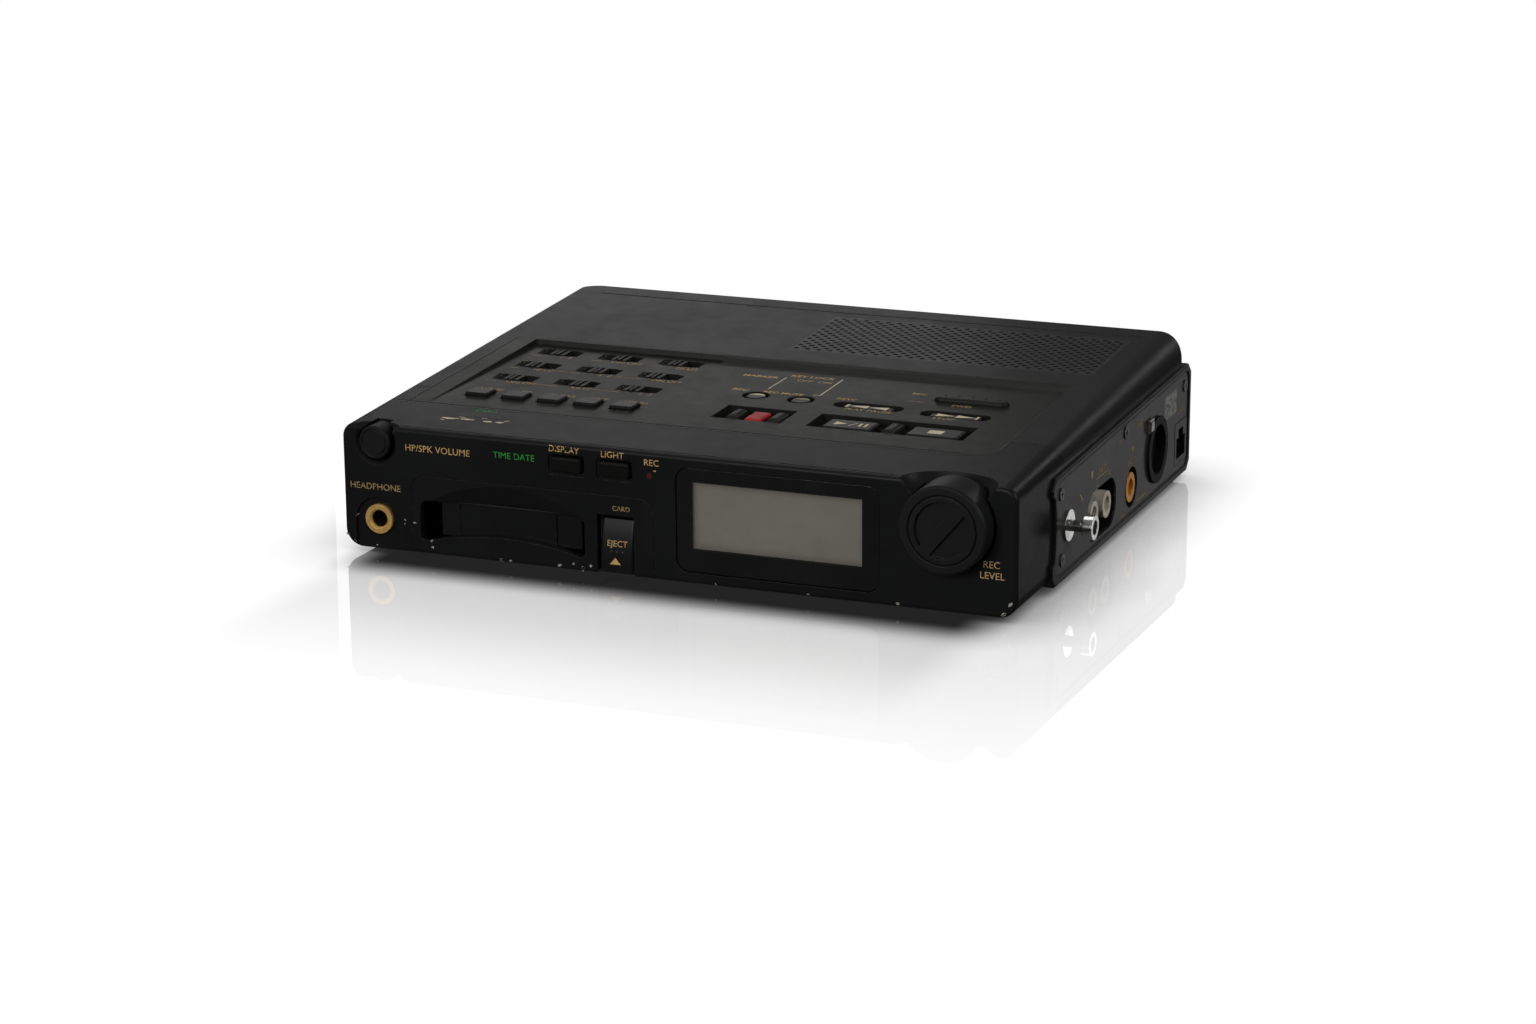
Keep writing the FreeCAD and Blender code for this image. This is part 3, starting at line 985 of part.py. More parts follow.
slide_bodies = piece(group("slide_switch_group", *bodies_), "slide_switch_bodies")
key_board = piece(cut("key_board_solid", box2("key_board_block", 14, 232, 44, 127, KB_TOP - 1.6, KB_TOP),
                      cyl("kb_hole_a", 118, 60, 30, 1.6, 20), cyl("kb_hole_b", 118, 116, 30, 1.6, 20)), "key_board")

# microphone bar: low rounded bridge with sound holes, and its capsule
mb0 = slab("mic_bar_block", "xy", (198.3, 227.3, 97.3, 102.9), 2.7, 2.7, 46.5, 5.4)
mb1 = fillet("mic_bar_soft", mb0, 1.2, lambda e: bb(e).ZMin > 51.8)
mic_bar = piece(cut("mic_bar_solid", mb1, *[cyl("mic_hole_%d" % i, 202.2 + 5.3 * i, 101.2, 44, 0.55, 12) for i in range(5)]), "mic_bar")

# ============================================================ inside
mb = cut("main_board_solid", box2("main_board_block", 18.5, 236, 26, 146, 3.9, 5.5),
         *[cyl("mb_hole_%d" % i, x, y, 0, 1.8, 12) for i, (x, y) in enumerate(((24, 32), (230, 32), (24, 140), (230, 140)))])
chips = [box("chip_%d" % i, x, y, 5.5, l, w, 1.6) for i, (x, y, l, w) in enumerate((
    (120, 50, 20, 20), (150, 70, 14, 14), (180, 50, 18, 10), (118, 100, 26, 12), (176, 92, 12, 20), (206, 60, 10, 16)))]
main_board = piece(fuse("main_board_all", mb, *chips), "main_board")
sp0 = fuse("speaker_all", cone("speaker_basket", 184, 171, 36, 13, 27, 10), cyl("speaker_rim", 184, 171, 46, 28, 2.0),
           cyl("speaker_magnet", 184, 171, 28, 15, 8))
sp1 = cone("speaker_cone_void", 184, 171, 39, 9, 24.5, 9.1)
speaker_driver = piece(cut("speaker_driver_solid", sp0, sp1), "speaker_driver")

feet_ = []
for i, (x, y) in enumerate(((22, 18), (242, 18), (13.4, 200), (246, 200))):
    f = cyl("foot_block_%d" % i, x, y, "0-foot_h", "foot_r", "foot_h")
    feet_.append(f)
feet = piece(group("feet_group", *feet_), "rubber_feet")

# screws: four in the jack plate and six under the case, all the same pan head
scr = []
for i, (y, z) in enumerate(SCR):
    h = cyl("pscrew_head_%d" % i, "case_w+0.8", y, z, 2.4, 0.55, "x")
    s_ = cyl("pscrew_shank_%d" % i, "case_w-2.9", y, z, 1.1, 3.8, "x")
    d1 = box("pscrew_cross_a%d" % i, "case_w+1.0", y - 1.4, z - 0.25, 2, 2.8, 0.5)
    d2 = box("pscrew_cross_b%d" % i, "case_w+1.0", y - 0.25, z - 1.4, 2, 0.5, 2.8)
    scr.append(cut("pscrew_%d" % i, fuse("pscrew_body_%d" % i, h, s_), d1, d2))
CS = [(14, 62), (250, 62), (132, 100), (14, 136), (250, 150), (140, 205)]
for i, (x, y) in enumerate(CS):
    h = cyl("bscrew_head_%d" % i, x, y, 0.3, 2.4, 0.55)
    s_ = cyl("bscrew_shank_%d" % i, x, y, 0.4, 1.1, 3.2 if i == 2 else 7.7)
    d1 = box("bscrew_cross_a%d" % i, x - 1.4, y - 0.25, -1, 2.8, 0.5, 1.6)
    d2 = box("bscrew_cross_b%d" % i, x - 0.25, y - 1.4, -1, 0.5, 2.8, 1.6)
    scr.append(cut("bscrew_%d" % i, fuse("bscrew_body_%d" % i, h, s_), d1, d2))
screws = piece(group("screw_group", *scr), "case_screws")

# holes and seats for those screws and the strap posts in the case shell
ch = []
for i, (x, y) in enumerate(CS):
    ch.append(cyl("bs_seat_%d" % i, x, y, -1, 2.6, 1.85))
    ch.append(cyl("bs_hole_%d" % i, x, y, -1, 1.3, 4.9 if i == 2 else 9.5))
for i, (y, z) in enumerate(SCR):
    ch.append(cyl("ps_hole_%d" % i, "case_w-3", y, z, 1.3, 6, "x"))
ch.append(cyl("post_hole_r", "case_w-9", "post_y", "post_z", "post_r", 20, "x"))
ch.append(cyl("post_hole_l", -3, "post_y", "post_z", "post_r", 11.1, "x"))

doc.recompute()


# the case shell is finished last, because those seats are cut from it
bottom_case.Label = "bottom_case_plain"
PIECES.remove(bottom_case)
for k in "xyz":
    bottom_case.setExpression("Placement.Base." + k, None)
bottom_case.Placement = FreeCAD.Placement()
bosses = []
for i, (x, y) in enumerate(CS):
    if i != 2:
        bosses.append(cyl("bs_boss_%d" % i, x, y, 1.0, 3.2, 8.2))
for nm, x in (("r", 256.0), ("l", 1.0)):
    bosses.append(box2("post_boss_" + nm, x, x + 7, "post_y-5", "post_y+5", "post_z-5", "post_z+5"))
case_bossed = fuse("case_bossed", bottom_case, *bosses)
case_trim = common("case_trimmed", case_bossed, env)
bottom_case = piece(cut("bottom_case_final", case_trim, *ch), "bottom_case")

doc.recompute()

# ============================================================ checks and export
bad = []
for o in doc.Objects:
    st = o.State
    if "Invalid" in st or "Error" in st:
        bad.append("%s (%s) %s" % (o.Name, o.Label, st))
if bad:
    raise RuntimeError("failed objects: " + "; ".join(bad))
os.makedirs("parts", exist_ok=True)
for o in PIECES:
    s = o.Shape
    if s.isNull() or not s.isValid():
        raise RuntimeError("bad shape " + o.Label)
    if len(s.Solids) < 1:
        raise RuntimeError("no solid " + o.Label)
labels = [o.Label for o in PIECES]
if len(set(labels)) != len(labels):
    raise RuntimeError("label used twice")
for o in PIECES:
    o.Shape.exportStep(os.path.join("parts", o.Label + ".step"))
    b = o.Shape.BoundBox
    print("%-24s solids %2d vol %9.1f  x %7.2f %7.2f y %7.2f %7.2f z %6.2f %6.2f" % (
        o.Label, len(o.Shape.Solids), o.Shape.Volume, b.XMin, b.XMax, b.YMin, b.YMax, b.ZMin, b.ZMax))
print("pieces", len(PIECES))
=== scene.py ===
import bpy
import bmesh
import math
import random
from mathutils import Vector, Matrix
from mathutils.bvhtree import BVHTree


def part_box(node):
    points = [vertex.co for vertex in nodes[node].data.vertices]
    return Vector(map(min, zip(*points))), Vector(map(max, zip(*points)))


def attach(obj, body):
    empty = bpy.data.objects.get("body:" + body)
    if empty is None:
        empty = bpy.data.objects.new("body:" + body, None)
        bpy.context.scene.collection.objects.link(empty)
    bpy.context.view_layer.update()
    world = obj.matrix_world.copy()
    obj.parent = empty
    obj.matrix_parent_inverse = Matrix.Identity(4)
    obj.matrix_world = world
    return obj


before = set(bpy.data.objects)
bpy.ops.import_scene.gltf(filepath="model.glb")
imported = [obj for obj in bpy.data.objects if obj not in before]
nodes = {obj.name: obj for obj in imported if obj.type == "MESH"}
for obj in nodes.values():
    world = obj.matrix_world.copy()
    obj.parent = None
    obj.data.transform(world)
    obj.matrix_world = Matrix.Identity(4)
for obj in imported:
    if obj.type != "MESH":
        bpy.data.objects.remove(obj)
bpy.context.view_layer.update()
rng = random.Random(7)

MM = 0.001
SX, SY, SZ = -132.0, -103.75, 2.0


def P(x, y, z):
    # model millimetres (left edge, front face, underside) to the shared frame in metres
    return Vector(((x + SX) * MM, (y + SY) * MM, (z + SZ) * MM))


def D(v):
    return (v.x / MM - SX, v.y / MM - SY, v.z / MM - SZ)


def topz(y):
    return 47.6 + 0.04 * y


# ---------------------------------------------------------------- node helpers
class Net:
    def __init__(self, name):
        self.mat = bpy.data.materials.new(name)
        self.mat.use_nodes = True
        self.t = self.mat.node_tree
        self.t.nodes.clear()
        self.out = self.n("ShaderNodeOutputMaterial")
        self.tc = self.n("ShaderNodeTexCoord")
        self.obj = self.tc.outputs["Object"]
        self.geo = self.n("ShaderNodeNewGeometry")

    def n(self, kind, **kw):
        node = self.t.nodes.new(kind)
        for k, v in kw.items():
            setattr(node, k, v)
        return node

    def link(self, a, b):
        self.t.links.new(a, b)

    def put(self, sock, v):
        if isinstance(v, bpy.types.NodeSocket):
            self.link(v, sock)
        else:
            sock.default_value = v

    def math(self, op, a, b=0.0, c=None, clamp=False):
        m = self.n("ShaderNodeMath", operation=op, use_clamp=clamp)
        self.put(m.inputs[0], a)
        self.put(m.inputs[1], b)
        if c is not None:
            self.put(m.inputs[2], c)
        return m.outputs[0]

    def mapping(self, scale=(1, 1, 1), loc=(0, 0, 0), rot=(0, 0, 0), src=None):
        m = self.n("ShaderNodeMapping")
        self.put(m.inputs["Vector"], src or self.obj)
        m.inputs["Scale"].default_value = scale
        m.inputs["Location"].default_value = loc
        m.inputs["Rotation"].default_value = rot
        return m.outputs[0]

    def noise(self, scale, detail=3.0, rough=0.55, vec=None, dist=0.0, w=None):
        m = self.n("ShaderNodeTexNoise")
        m.inputs["Scale"].default_value = scale
        m.inputs["Detail"].default_value = detail
        m.inputs["Roughness"].default_value = rough
        m.inputs["Distortion"].default_value = dist
        self.put(m.inputs["Vector"], vec or self.obj)
        return m.outputs["Fac"]

    def voronoi(self, scale, vec=None, feature="F1", rand=1.0):
        m = self.n("ShaderNodeTexVoronoi", feature=feature)
        m.inputs["Scale"].default_value = scale
        m.inputs["Randomness"].default_value = rand
        self.put(m.inputs["Vector"], vec or self.obj)
        return m.outputs["Distance"]

    def ramp(self, fac, lo, hi, a=0.0, b=1.0):
        m = self.n("ShaderNodeMapRange", interpolation_type="SMOOTHSTEP")
        self.put(m.inputs["Value"], fac)
        m.inputs["From Min"].default_value = lo
        m.inputs["From Max"].default_value = hi
        m.inputs["To Min"].default_value = a
        m.inputs["To Max"].default_value = b
        return m.outputs[0]

    def mix(self, fac, a, b):
        m = self.n("ShaderNodeMix", data_type="RGBA")
        self.put(m.inputs["Factor"], fac)
        ia = [s for s in m.inputs if s.name == "A" and s.type == "RGBA"][0]
        ib = [s for s in m.inputs if s.name == "B" and s.type == "RGBA"][0]
        self.put(ia, a if isinstance(a, bpy.types.NodeSocket) else tuple(a) + ((1.0,) if len(a) == 3 else ()))
        self.put(ib, b if isinstance(b, bpy.types.NodeSocket) else tuple(b) + ((1.0,) if len(b) == 3 else ()))
        return [s for s in m.outputs if s.type == "RGBA"][0]

    def mixf(self, fac, a, b):
        m = self.n("ShaderNodeMix", data_type="FLOAT")
        self.put(m.inputs["Factor"], fac)
        ia = [s for s in m.inputs if s.name == "A" and s.type == "VALUE"][0]
        ib = [s for s in m.inputs if s.name == "B" and s.type == "VALUE"][0]
        self.put(ia, a)
        self.put(ib, b)
        return [s for s in m.outputs if s.type == "VALUE"][0]

    def xyz(self, src=None):
        m = self.n("ShaderNodeSeparateXYZ")
        self.put(m.inputs[0], src or self.obj)
        return m.outputs

    def band(self, v, lo, hi, soft):
        # 1 between lo and hi, with soft edges
        a = self.ramp(v, lo - soft, lo + soft)
        b = self.ramp(v, hi - soft, hi + soft, 1.0, 0.0)
        return self.math("MULTIPLY", a, b)

    def bump(self, height, strength, dist, normal=None):
        m = self.n("ShaderNodeBump")
        m.inputs["Strength"].default_value = strength
        m.inputs["Distance"].default_value = dist
        self.put(m.inputs["Height"], height)
        if normal is not None:
            self.put(m.inputs["Normal"], normal)
        return m.outputs[0]

    def edge(self, radius):
        m = self.n("ShaderNodeBevel", samples=6)
        m.inputs["Radius"].default_value = radius
        return m.outputs[0]

    def edge_mask(self, radius, lo=0.03, hi=0.16):
        # how far the rounded normal leaves the true one: 1 at outer edges
        e = self.edge(radius)
        d = self.n("ShaderNodeVectorMath", operation="DOT_PRODUCT")
        self.link(e, d.inputs[0])
        self.link(self.geo.outputs["Normal"], d.inputs[1])
        return self.ramp(self.math("SUBTRACT", 1.0, d.outputs["Value"]), lo, hi), e

    def principled(self, color, rough, metal=0.0, ior_level=None, coat=0.0, normal=None, alpha=None,
                   emit=None, emit_strength=0.0, sheen=0.0):
        b = self.n("ShaderNodeBsdfPrincipled")
        self.put(b.inputs["Base Color"], color if isinstance(color, bpy.types.NodeSocket) else tuple(color) + (1.0,))
        self.put(b.inputs["Roughness"], rough)
        self.put(b.inputs["Metallic"], metal)
        if ior_level is not None:
            b.inputs["Specular IOR Level"].default_value = ior_level
        if coat:
            b.inputs["Coat Weight"].default_value = coat
            b.inputs["Coat Roughness"].default_value = 0.12
        if sheen:
            b.inputs["Sheen Weight"].default_value = sheen
            b.inputs["Sheen Roughness"].default_value = 0.5
        if normal is not None:
            self.link(normal, b.inputs["Normal"])
        if alpha is not None:
            self.put(b.inputs["Alpha"], alpha)
        if emit is not None:
            b.inputs["Emission Color"].default_value = tuple(emit) + (1.0,)
            b.inputs["Emission Strength"].default_value = emit_strength
        self.link(b.outputs[0], self.out.inputs["Surface"])
        return b


def black_plastic(name, base=(0.012, 0.012, 0.0125), rough=0.36, grain=2600.0, grain_s=0.22, edge_r=0.00035,
                  wear=0.55, dust=0.35, tint=(0.06, 0.058, 0.052), smear=0.10, level=0.22, worn=(0.075, 0.072, 0.066),
                  extra=None):
    # moulded satin plastic: fine texture, handling smears, dust on what faces up, pale worn edges
    k = Net(name)
    mask, e = k.edge_mask(edge_r)
    fine = k.noise(grain, 2.0, 0.6)
    cell = k.voronoi(grain * 0.55)
    h = k.math("ADD", k.math("MULTIPLY", fine, 0.6), k.math("MULTIPLY", cell, 0.5))
    nor = k.bump(h, grain_s, 0.00004, e)
    wide = k.noise(17.0, 4.0, 0.6, dist=0.4)
    mid = k.noise(120.0, 4.0, 0.6)
    scr = k.noise(95.0, 5.0, 0.7, vec=k.mapping((1.0, 9.0, 9.0), rot=(0, 0, 0.35)))
    scr2 = k.noise(80.0, 5.0, 0.7, vec=k.mapping((9.0, 1.0, 9.0), rot=(0, 0, -0.5)))
    scm = k.math("MAXIMUM", k.ramp(scr, 0.66, 0.72), k.ramp(scr2, 0.67, 0.73))
    up = k.ramp(k.xyz(k.geo.outputs["Normal"])[2], 0.55, 0.98)
    spk = k.ramp(k.voronoi(900.0), 0.10, 0.04)
    spk = k.math("MULTIPLY", spk, k.ramp(k.noise(260.0, 2.0), 0.52, 0.62))
    d = k.math("MULTIPLY", up, k.ramp(wide, 0.42, 0.72))
    d = k.math("MULTIPLY", d, k.ramp(mid, 0.35, 0.75))
    d = k.math("MULTIPLY", d, dust, clamp=True)
    col = k.mix(k.math("MULTIPLY", k.ramp(wide, 0.3, 0.75), 0.5), base, tuple(min(1, c * 1.7) for c in base))
    col = k.mix(k.math("MULTIPLY", d, 0.10), col, tint)
    col = k.mix(k.math("MULTIPLY", spk, k.math("MULTIPLY", up, 0.55 * min(1, dust * 2))), col, (0.16, 0.155, 0.14))
    w = k.math("MULTIPLY", mask, k.ramp(k.noise(310.0, 4.0, 0.65), 0.44, 0.62))
    col = k.mix(k.math("MULTIPLY", w, wear), col, worn)
    col = k.mix(k.math("MULTIPLY", scm, 0.10), col, (0.09, 0.088, 0.08))
    r = k.math("ADD", rough, k.math("MULTIPLY", k.math("SUBTRACT", mid, 0.5), smear))
    r = k.math("ADD", r, k.math("MULTIPLY", k.math("SUBTRACT", wide, 0.5), smear * 0.9))
    r = k.math("ADD", r, k.math("MULTIPLY", d, 0.05))
    r = k.math("SUBTRACT", r, k.math("MULTIPLY", scm, 0.08), clamp=True)
    if extra:
        col, r = extra(k, col, r)
    k.principled(col, r, 0.0, level, normal=nor)
    return k.mat


def metal(name, color, rough=0.22, dark=0.5, scratch=(1, 1, 14), var=0.12, bump_s=0.12, edge_r=0.0002, dirt=(0.05, 0.045, 0.04),
          dirt_amt=0.35):
    k = Net(name)
    e = k.edge(edge_r)
    brush = k.noise(420.0, 4.0, 0.65, vec=k.mapping(scratch))
    blot = k.noise(150.0, 4.0, 0.6)
    col = k.mix(k.ramp(blot, 0.42, 0.75), color, tuple(c * dark for c in color))
    col = k.mix(k.math("MULTIPLY", k.ramp(k.noise(520.0, 3.0, 0.6), 0.55, 0.72), dirt_amt), col, dirt)
    r = k.math("ADD", rough, k.math("MULTIPLY", k.math("SUBTRACT", blot, 0.5), var * 2), clamp=True)
    r = k.math("ADD", r, k.math("MULTIPLY", k.math("SUBTRACT", brush, 0.5), var), clamp=True)
    nor = k.bump(brush, bump_s, 0.00002, e)
    k.principled(col, r, 1.0, normal=nor)
    return k.mat


def set_mat(node, mat):
    me = nodes[node].data
    if len(me.materials) == 0:
        me.materials.append(mat)
    for i in range(len(me.materials)):
        me.materials[i] = mat


# ---------------------------------------------------------------- materials of the shell
M = {}
M["case"] = black_plastic("case_black")
M["cover"] = black_plastic("cover_black", base=(0.013, 0.013, 0.0132), rough=0.40, grain=2200.0, grain_s=0.28, dust=0.6, smear=0.12)
M["bezel"] = black_plastic("bezel_black", level=0.15, base=(0.010, 0.0105, 0.0105), rough=0.36, grain_s=0.18, dust=0.45, wear=0.75)
M["panel"] = black_plastic("card_panel_black", base=(0.009, 0.0095, 0.0095), rough=0.34, grain_s=0.14, dust=0.2, wear=0.6)
M["plate"] = black_plastic("plate_black", level=0.15, base=(0.015, 0.0148, 0.0132), rough=0.37, grain=2800.0, grain_s=0.16, dust=0.8, smear=0.13,
                           tint=(0.085, 0.08, 0.066))
M["grille"] = black_plastic("grille_black", base=(0.025, 0.025, 0.0252), rough=0.36, grain_s=0.2, dust=0.9, edge_r=0.00022, wear=0.3)
M["knob"] = black_plastic("knob_black", base=(0.011, 0.0115, 0.0115), rough=0.42, grain=3000.0, grain_s=0.2, dust=0.25, edge_r=0.0004,
                          wear=0.35, worn=(0.06, 0.058, 0.054))
M["button"] = black_plastic("button_black", level=0.12, base=(0.010, 0.0098, 0.0092), rough=0.30, grain_s=0.1, dust=0.4, edge_r=0.0003, wear=0.6,
                            worn=(0.07, 0.066, 0.056))
M["lever"] = black_plastic("lever_grey", base=(0.016, 0.0155, 0.014), rough=0.42, grain_s=0.2, dust=0.6, edge_r=0.0002, wear=0.8,
                           worn=(0.14, 0.13, 0.115))
M["frame"] = black_plastic("side_frame_black", base=(0.010, 0.0105, 0.011), rough=0.33, grain_s=0.2, dust=0.3, wear=0.65)
M["dark"] = black_plastic("inner_black", base=(0.008, 0.008, 0.008), rough=0.5, grain_s=0.2, dust=0.1, wear=0.2)


def bare_patch(k, col, r):
    # rubbed-through patch beside the microphone socket, in bare metal colour
    X = k.xyz()
    y = k.band(X[1], (189.0 - 8.2 + SY) * MM, (189.0 + 8.2 + SY) * MM, 0.0012)
    z = k.band(X[2], (33.1 - 4.6 + SZ) * MM, (33.1 + 4.6 + SZ) * MM, 0.0010)
    ragged = k.ramp(k.noise(330.0, 5.0, 0.7), 0.40, 0.52)
    m = k.math("MULTIPLY", k.math("MULTIPLY", y, z), ragged)
    c = k.mix(k.ramp(k.noise(700.0, 3.0), 0.4, 0.65), (0.42, 0.41, 0.38), (0.24, 0.23, 0.21))
    return k.mix(m, col, c), k.mixf(m, r, 0.42)


M["jackplate"] = black_plastic("jack_plate_grey", base=(0.040, 0.0405, 0.0400), rough=0.34, grain=1800.0, grain_s=0.18, dust=0.3,
                               edge_r=0.00025, wear=0.9, worn=(0.34, 0.33, 0.30), extra=bare_patch)

for n in ("bottom_case", "battery_door"):
    set_mat(n, M["case"])
set_mat("top_cover", M["cover"])
set_mat("front_bezel", M["bezel"])
set_mat("card_panel", M["panel"])
set_mat("slot_flap", M["panel"])
set_mat("control_plate", M["plate"])
set_mat("mic_bar", M["plate"])
set_mat("speaker_grille", M["grille"])
set_mat("jack_frame", M["frame"])
set_mat("jack_plate", M["jackplate"])
for n in nodes:
    if n.startswith("keypad_button") or n in ("marker_button", "lock_button", "rewind_button", "forward_button", "play_pause_button",
                                               "stop_button", "display_button", "light_button", "eject_lever"):
        set_mat(n, M["button"])
    if n.startswith("switch_lever"):
        set_mat(n, M["lever"])
for n in ("volume_knob", "rec_level_outer_knob", "rec_level_inner_knob"):
    set_mat(n, M["knob"])
set_mat("eject_lever", M["panel"])
set_mat("ejector_slide", M["dark"])
set_mat("xlr_socket", M["dark"])

# ---------------------------------------------------------------- small parts
# record key: red, rubbed, with dust in its dish
k = Net("record_red")
mask, e = k.edge_mask(0.0003)
n1 = k.noise(160.0, 4.0, 0.6)
col = k.mix(k.ramp(n1, 0.35, 0.7), (0.50, 0.018, 0.022), (0.36, 0.012, 0.016))
col = k.mix(k.math("MULTIPLY", mask, k.math("MULTIPLY", k.ramp(k.noise(420.0, 4.0), 0.4, 0.62), 0.5)), col, (0.72, 0.22, 0.16))
col = k.mix(k.math("MULTIPLY", k.ramp(k.voronoi(1200.0), 0.12, 0.04), 0.3), col, (0.5, 0.3, 0.26))
k.principled(col, k.ramp(n1, 0.2, 0.8, 0.36, 0.5), 0.0, 0.3, normal=k.bump(k.noise(2600.0, 2.0), 0.2, 0.00003, e))
set_mat("rec_button", k.mat)

M["chrome"] = metal("post_chrome", (0.80, 0.79, 0.77), 0.16, 0.72, (1, 12, 12), dirt_amt=0.2)
M["nickel"] = metal("bare_nickel", (0.62, 0.61, 0.58), 0.30, 0.6, (1, 14, 1), dirt_amt=0.4)
M["steel"] = metal("screw_steel", (0.23, 0.23, 0.235), 0.36, 0.55, (3, 3, 3), dirt_amt=0.5)
M["cage"] = metal("cage_steel", (0.50, 0.50, 0.50), 0.34, 0.7, (9, 1, 1), dirt_amt=0.2)
M["pot"] = metal("pot_steel", (0.52, 0.51, 0.49), 0.36, 0.65, (1, 9, 1), dirt_amt=0.3)
M["contact"] = metal("contact_nickel", (0.70, 0.68, 0.62), 0.24, 0.6, (1, 1, 10), dirt_amt=0.3)
set_mat("strap_posts", M["chrome"])
set_mat("xlr_latch", M["nickel"])
set_mat("case_screws", M["steel"])
set_mat("card_cage", M["cage"])
set_mat("speaker_driver", M["pot"])
set_mat("volume_pot", M["pot"])
set_mat("level_pot", M["pot"])
set_mat("slide_switch_bodies", M["pot"])
set_mat("battery_contacts", M["contact"])


def ring_radius(k, cx, cz, axis):
    # distance from a socket's axis, in metres
    X = k.xyz()
    if axis == "y":
        a = k.math("SUBTRACT", X[0], (cx + SX) * MM)
        b = k.math("SUBTRACT", X[2], (cz + SZ) * MM)
    else:
        a = k.math("SUBTRACT", X[1], (cx + SY) * MM)
        b = k.math("SUBTRACT", X[2], (cz + SZ) * MM)
    return k.math("SQRT", k.math("ADD", k.math("MULTIPLY", a, a), k.math("MULTIPLY", b, b))), X


# headphone socket: worn gold ring round a dark bore
k = Net("gold_ring")
rad, X = ring_radius(k, 14.6, 11.8, "y")
e = k.edge(0.0002)
deep = k.ramp(X[1], (0.9 + SY) * MM, (2.2 + SY) * MM)
inner = k.ramp(rad, 0.00345, 0.00315)
dk = k.math("MAXIMUM", deep, k.math("MULTIPLY", inner, k.ramp(X[1], (0.2 + SY) * MM, (1.4 + SY) * MM)))
blot = k.noise(500.0, 4.0, 0.65)
col = k.mix(k.ramp(blot, 0.42, 0.7), (1.0, 0.66, 0.22), (0.92, 0.50, 0.13))
col = k.mix(dk, col, (0.05, 0.045, 0.035))
r = k.math("ADD", 0.2, k.math("MULTIPLY", blot, 0.2))
k.principled(col, r, k.mixf(dk, 0.45, 0.35), normal=k.bump(k.noise(1500.0, 3.0), 0.15, 0.00003, e))
set_mat("headphone_jack", k.mat)


def phono_mat(name, ring_c, ring_d, ring_metal=0.0, barrel_r=0.0042):
    k = Net(name)
    X = k.xyz()
    e = k.edge(0.0002)
    blot = k.noise(420.0, 4.0, 0.65)
    # the barrel reaches inward from the ring, and the bore is metal
    deep = k.ramp(X[0], (257.6 + SX) * MM, (256.4 + SX) * MM)
    nx = k.math("ABSOLUTE", k.xyz(k.geo.outputs["Normal"])[0])
    col = k.mix(k.ramp(blot, 0.40, 0.70), ring_c, ring_d)
    col = k.mix(k.math("MULTIPLY", k.ramp(k.noise(900.0, 3.0), 0.58, 0.7), 0.5), col, (0.12, 0.10, 0.08))
    col = k.mix(deep, col, (0.32, 0.31, 0.29))
    k.principled(col, k.math("ADD", 0.26, k.math("MULTIPLY", blot, 0.22)), k.mixf(deep, ring_metal, 1.0),
                 normal=k.bump(k.noise(1200.0, 3.0), 0.15, 0.00003, e))
    return k


M["line"] = phono_mat("line_ring", (0.95, 0.90, 0.78), (0.72, 0.64, 0.50)).mat
M["digi"] = phono_mat("digital_ring", (0.98, 0.46, 0.06), (0.72, 0.30, 0.04), 0.2).mat
set_mat("line_sockets", M["line"])
set_mat("digital_socket", M["digi"])

# line plug socket: black plastic, a little shinier
set_mat("modular_socket", black_plastic("modular_black", base=(0.014, 0.014, 0.014), rough=0.3, grain_s=0.06, dust=0.1, wear=0.4))

# display window: black printed border, clear middle, hard coat
k = Net("window_cover")
X = k.xyz()
mx = k.band(X[0], (140.6 + SX) * MM, (206.2 + SX) * MM, 0.00007)
mz = k.band(X[2], (12.9 + SZ) * MM, (38.0 + SZ) * MM, 0.00007)
clear = k.math("MULTIPLY", mx, mz)
mask, e = k.edge_mask(0.00025)
smear = k.noise(60.0, 4.0, 0.6, dist=0.6)
# the pale outer edges of the black border are a painted edge highlight
col = k.mix(k.math("MULTIPLY", mask, 0.45), (0.008, 0.0083, 0.0080), (0.05, 0.05, 0.046))
col = k.mix(clear, col, k.mix(k.ramp(smear, 0.4, 0.7), (0.17, 0.165, 0.15), (0.185, 0.18, 0.162)))
dustp = k.math("MULTIPLY", k.ramp(k.voronoi(700.0), 0.08, 0.03), k.ramp(k.noise(200.0, 2.0), 0.5, 0.62))
al = k.mixf(clear, 1.0, k.math("ADD", k.ramp(smear, 0.35, 0.75, 0.07, 0.11), k.math("MULTIPLY", dustp, 0.3)))
k.principled(col, k.ramp(smear, 0.3, 0.75, 0.16, 0.30), 0.0, 0.5, alpha=al, normal=k.bump(k.noise(900.0, 2.0), 0.02, 0.00002, e))
set_mat("lcd_window", k.mat)

# display glass: warm grey-green, blank, with the faint cell grid
k = Net("display_glass")
X = k.xyz()
w1 = k.n("ShaderNodeTexWave", wave_type="BANDS", bands_direction="X")
w1.inputs["Scale"].default_value = 520.0
k.link(k.obj, w1.inputs["Vector"])
w2 = k.n("ShaderNodeTexWave", wave_type="BANDS", bands_direction="Z")
w2.inputs["Scale"].default_value = 520.0
k.link(k.obj, w2.inputs["Vector"])
grid = k.math("MULTIPLY", w1.outputs["Fac"], w2.outputs["Fac"])
cloud = k.noise(34.0, 3.0, 0.5)
col = k.mix(k.ramp(cloud, 0.3, 0.75), (0.385, 0.366, 0.295), (0.362, 0.344, 0.279))
col = k.mix(k.math("MULTIPLY", grid, 0.05), col, (0.05, 0.05, 0.04))
# painted shade: the glass is darkened toward its margins, under the window border
edge_painted_shade = k.math("SUBTRACT", 1.0, k.math("MULTIPLY", k.band(X[0], (142.0 + SX) * MM, (205.0 + SX) * MM, 0.0018),
                                            k.band(X[2], (14.2 + SZ) * MM, (36.4 + SZ) * MM, 0.0018)))
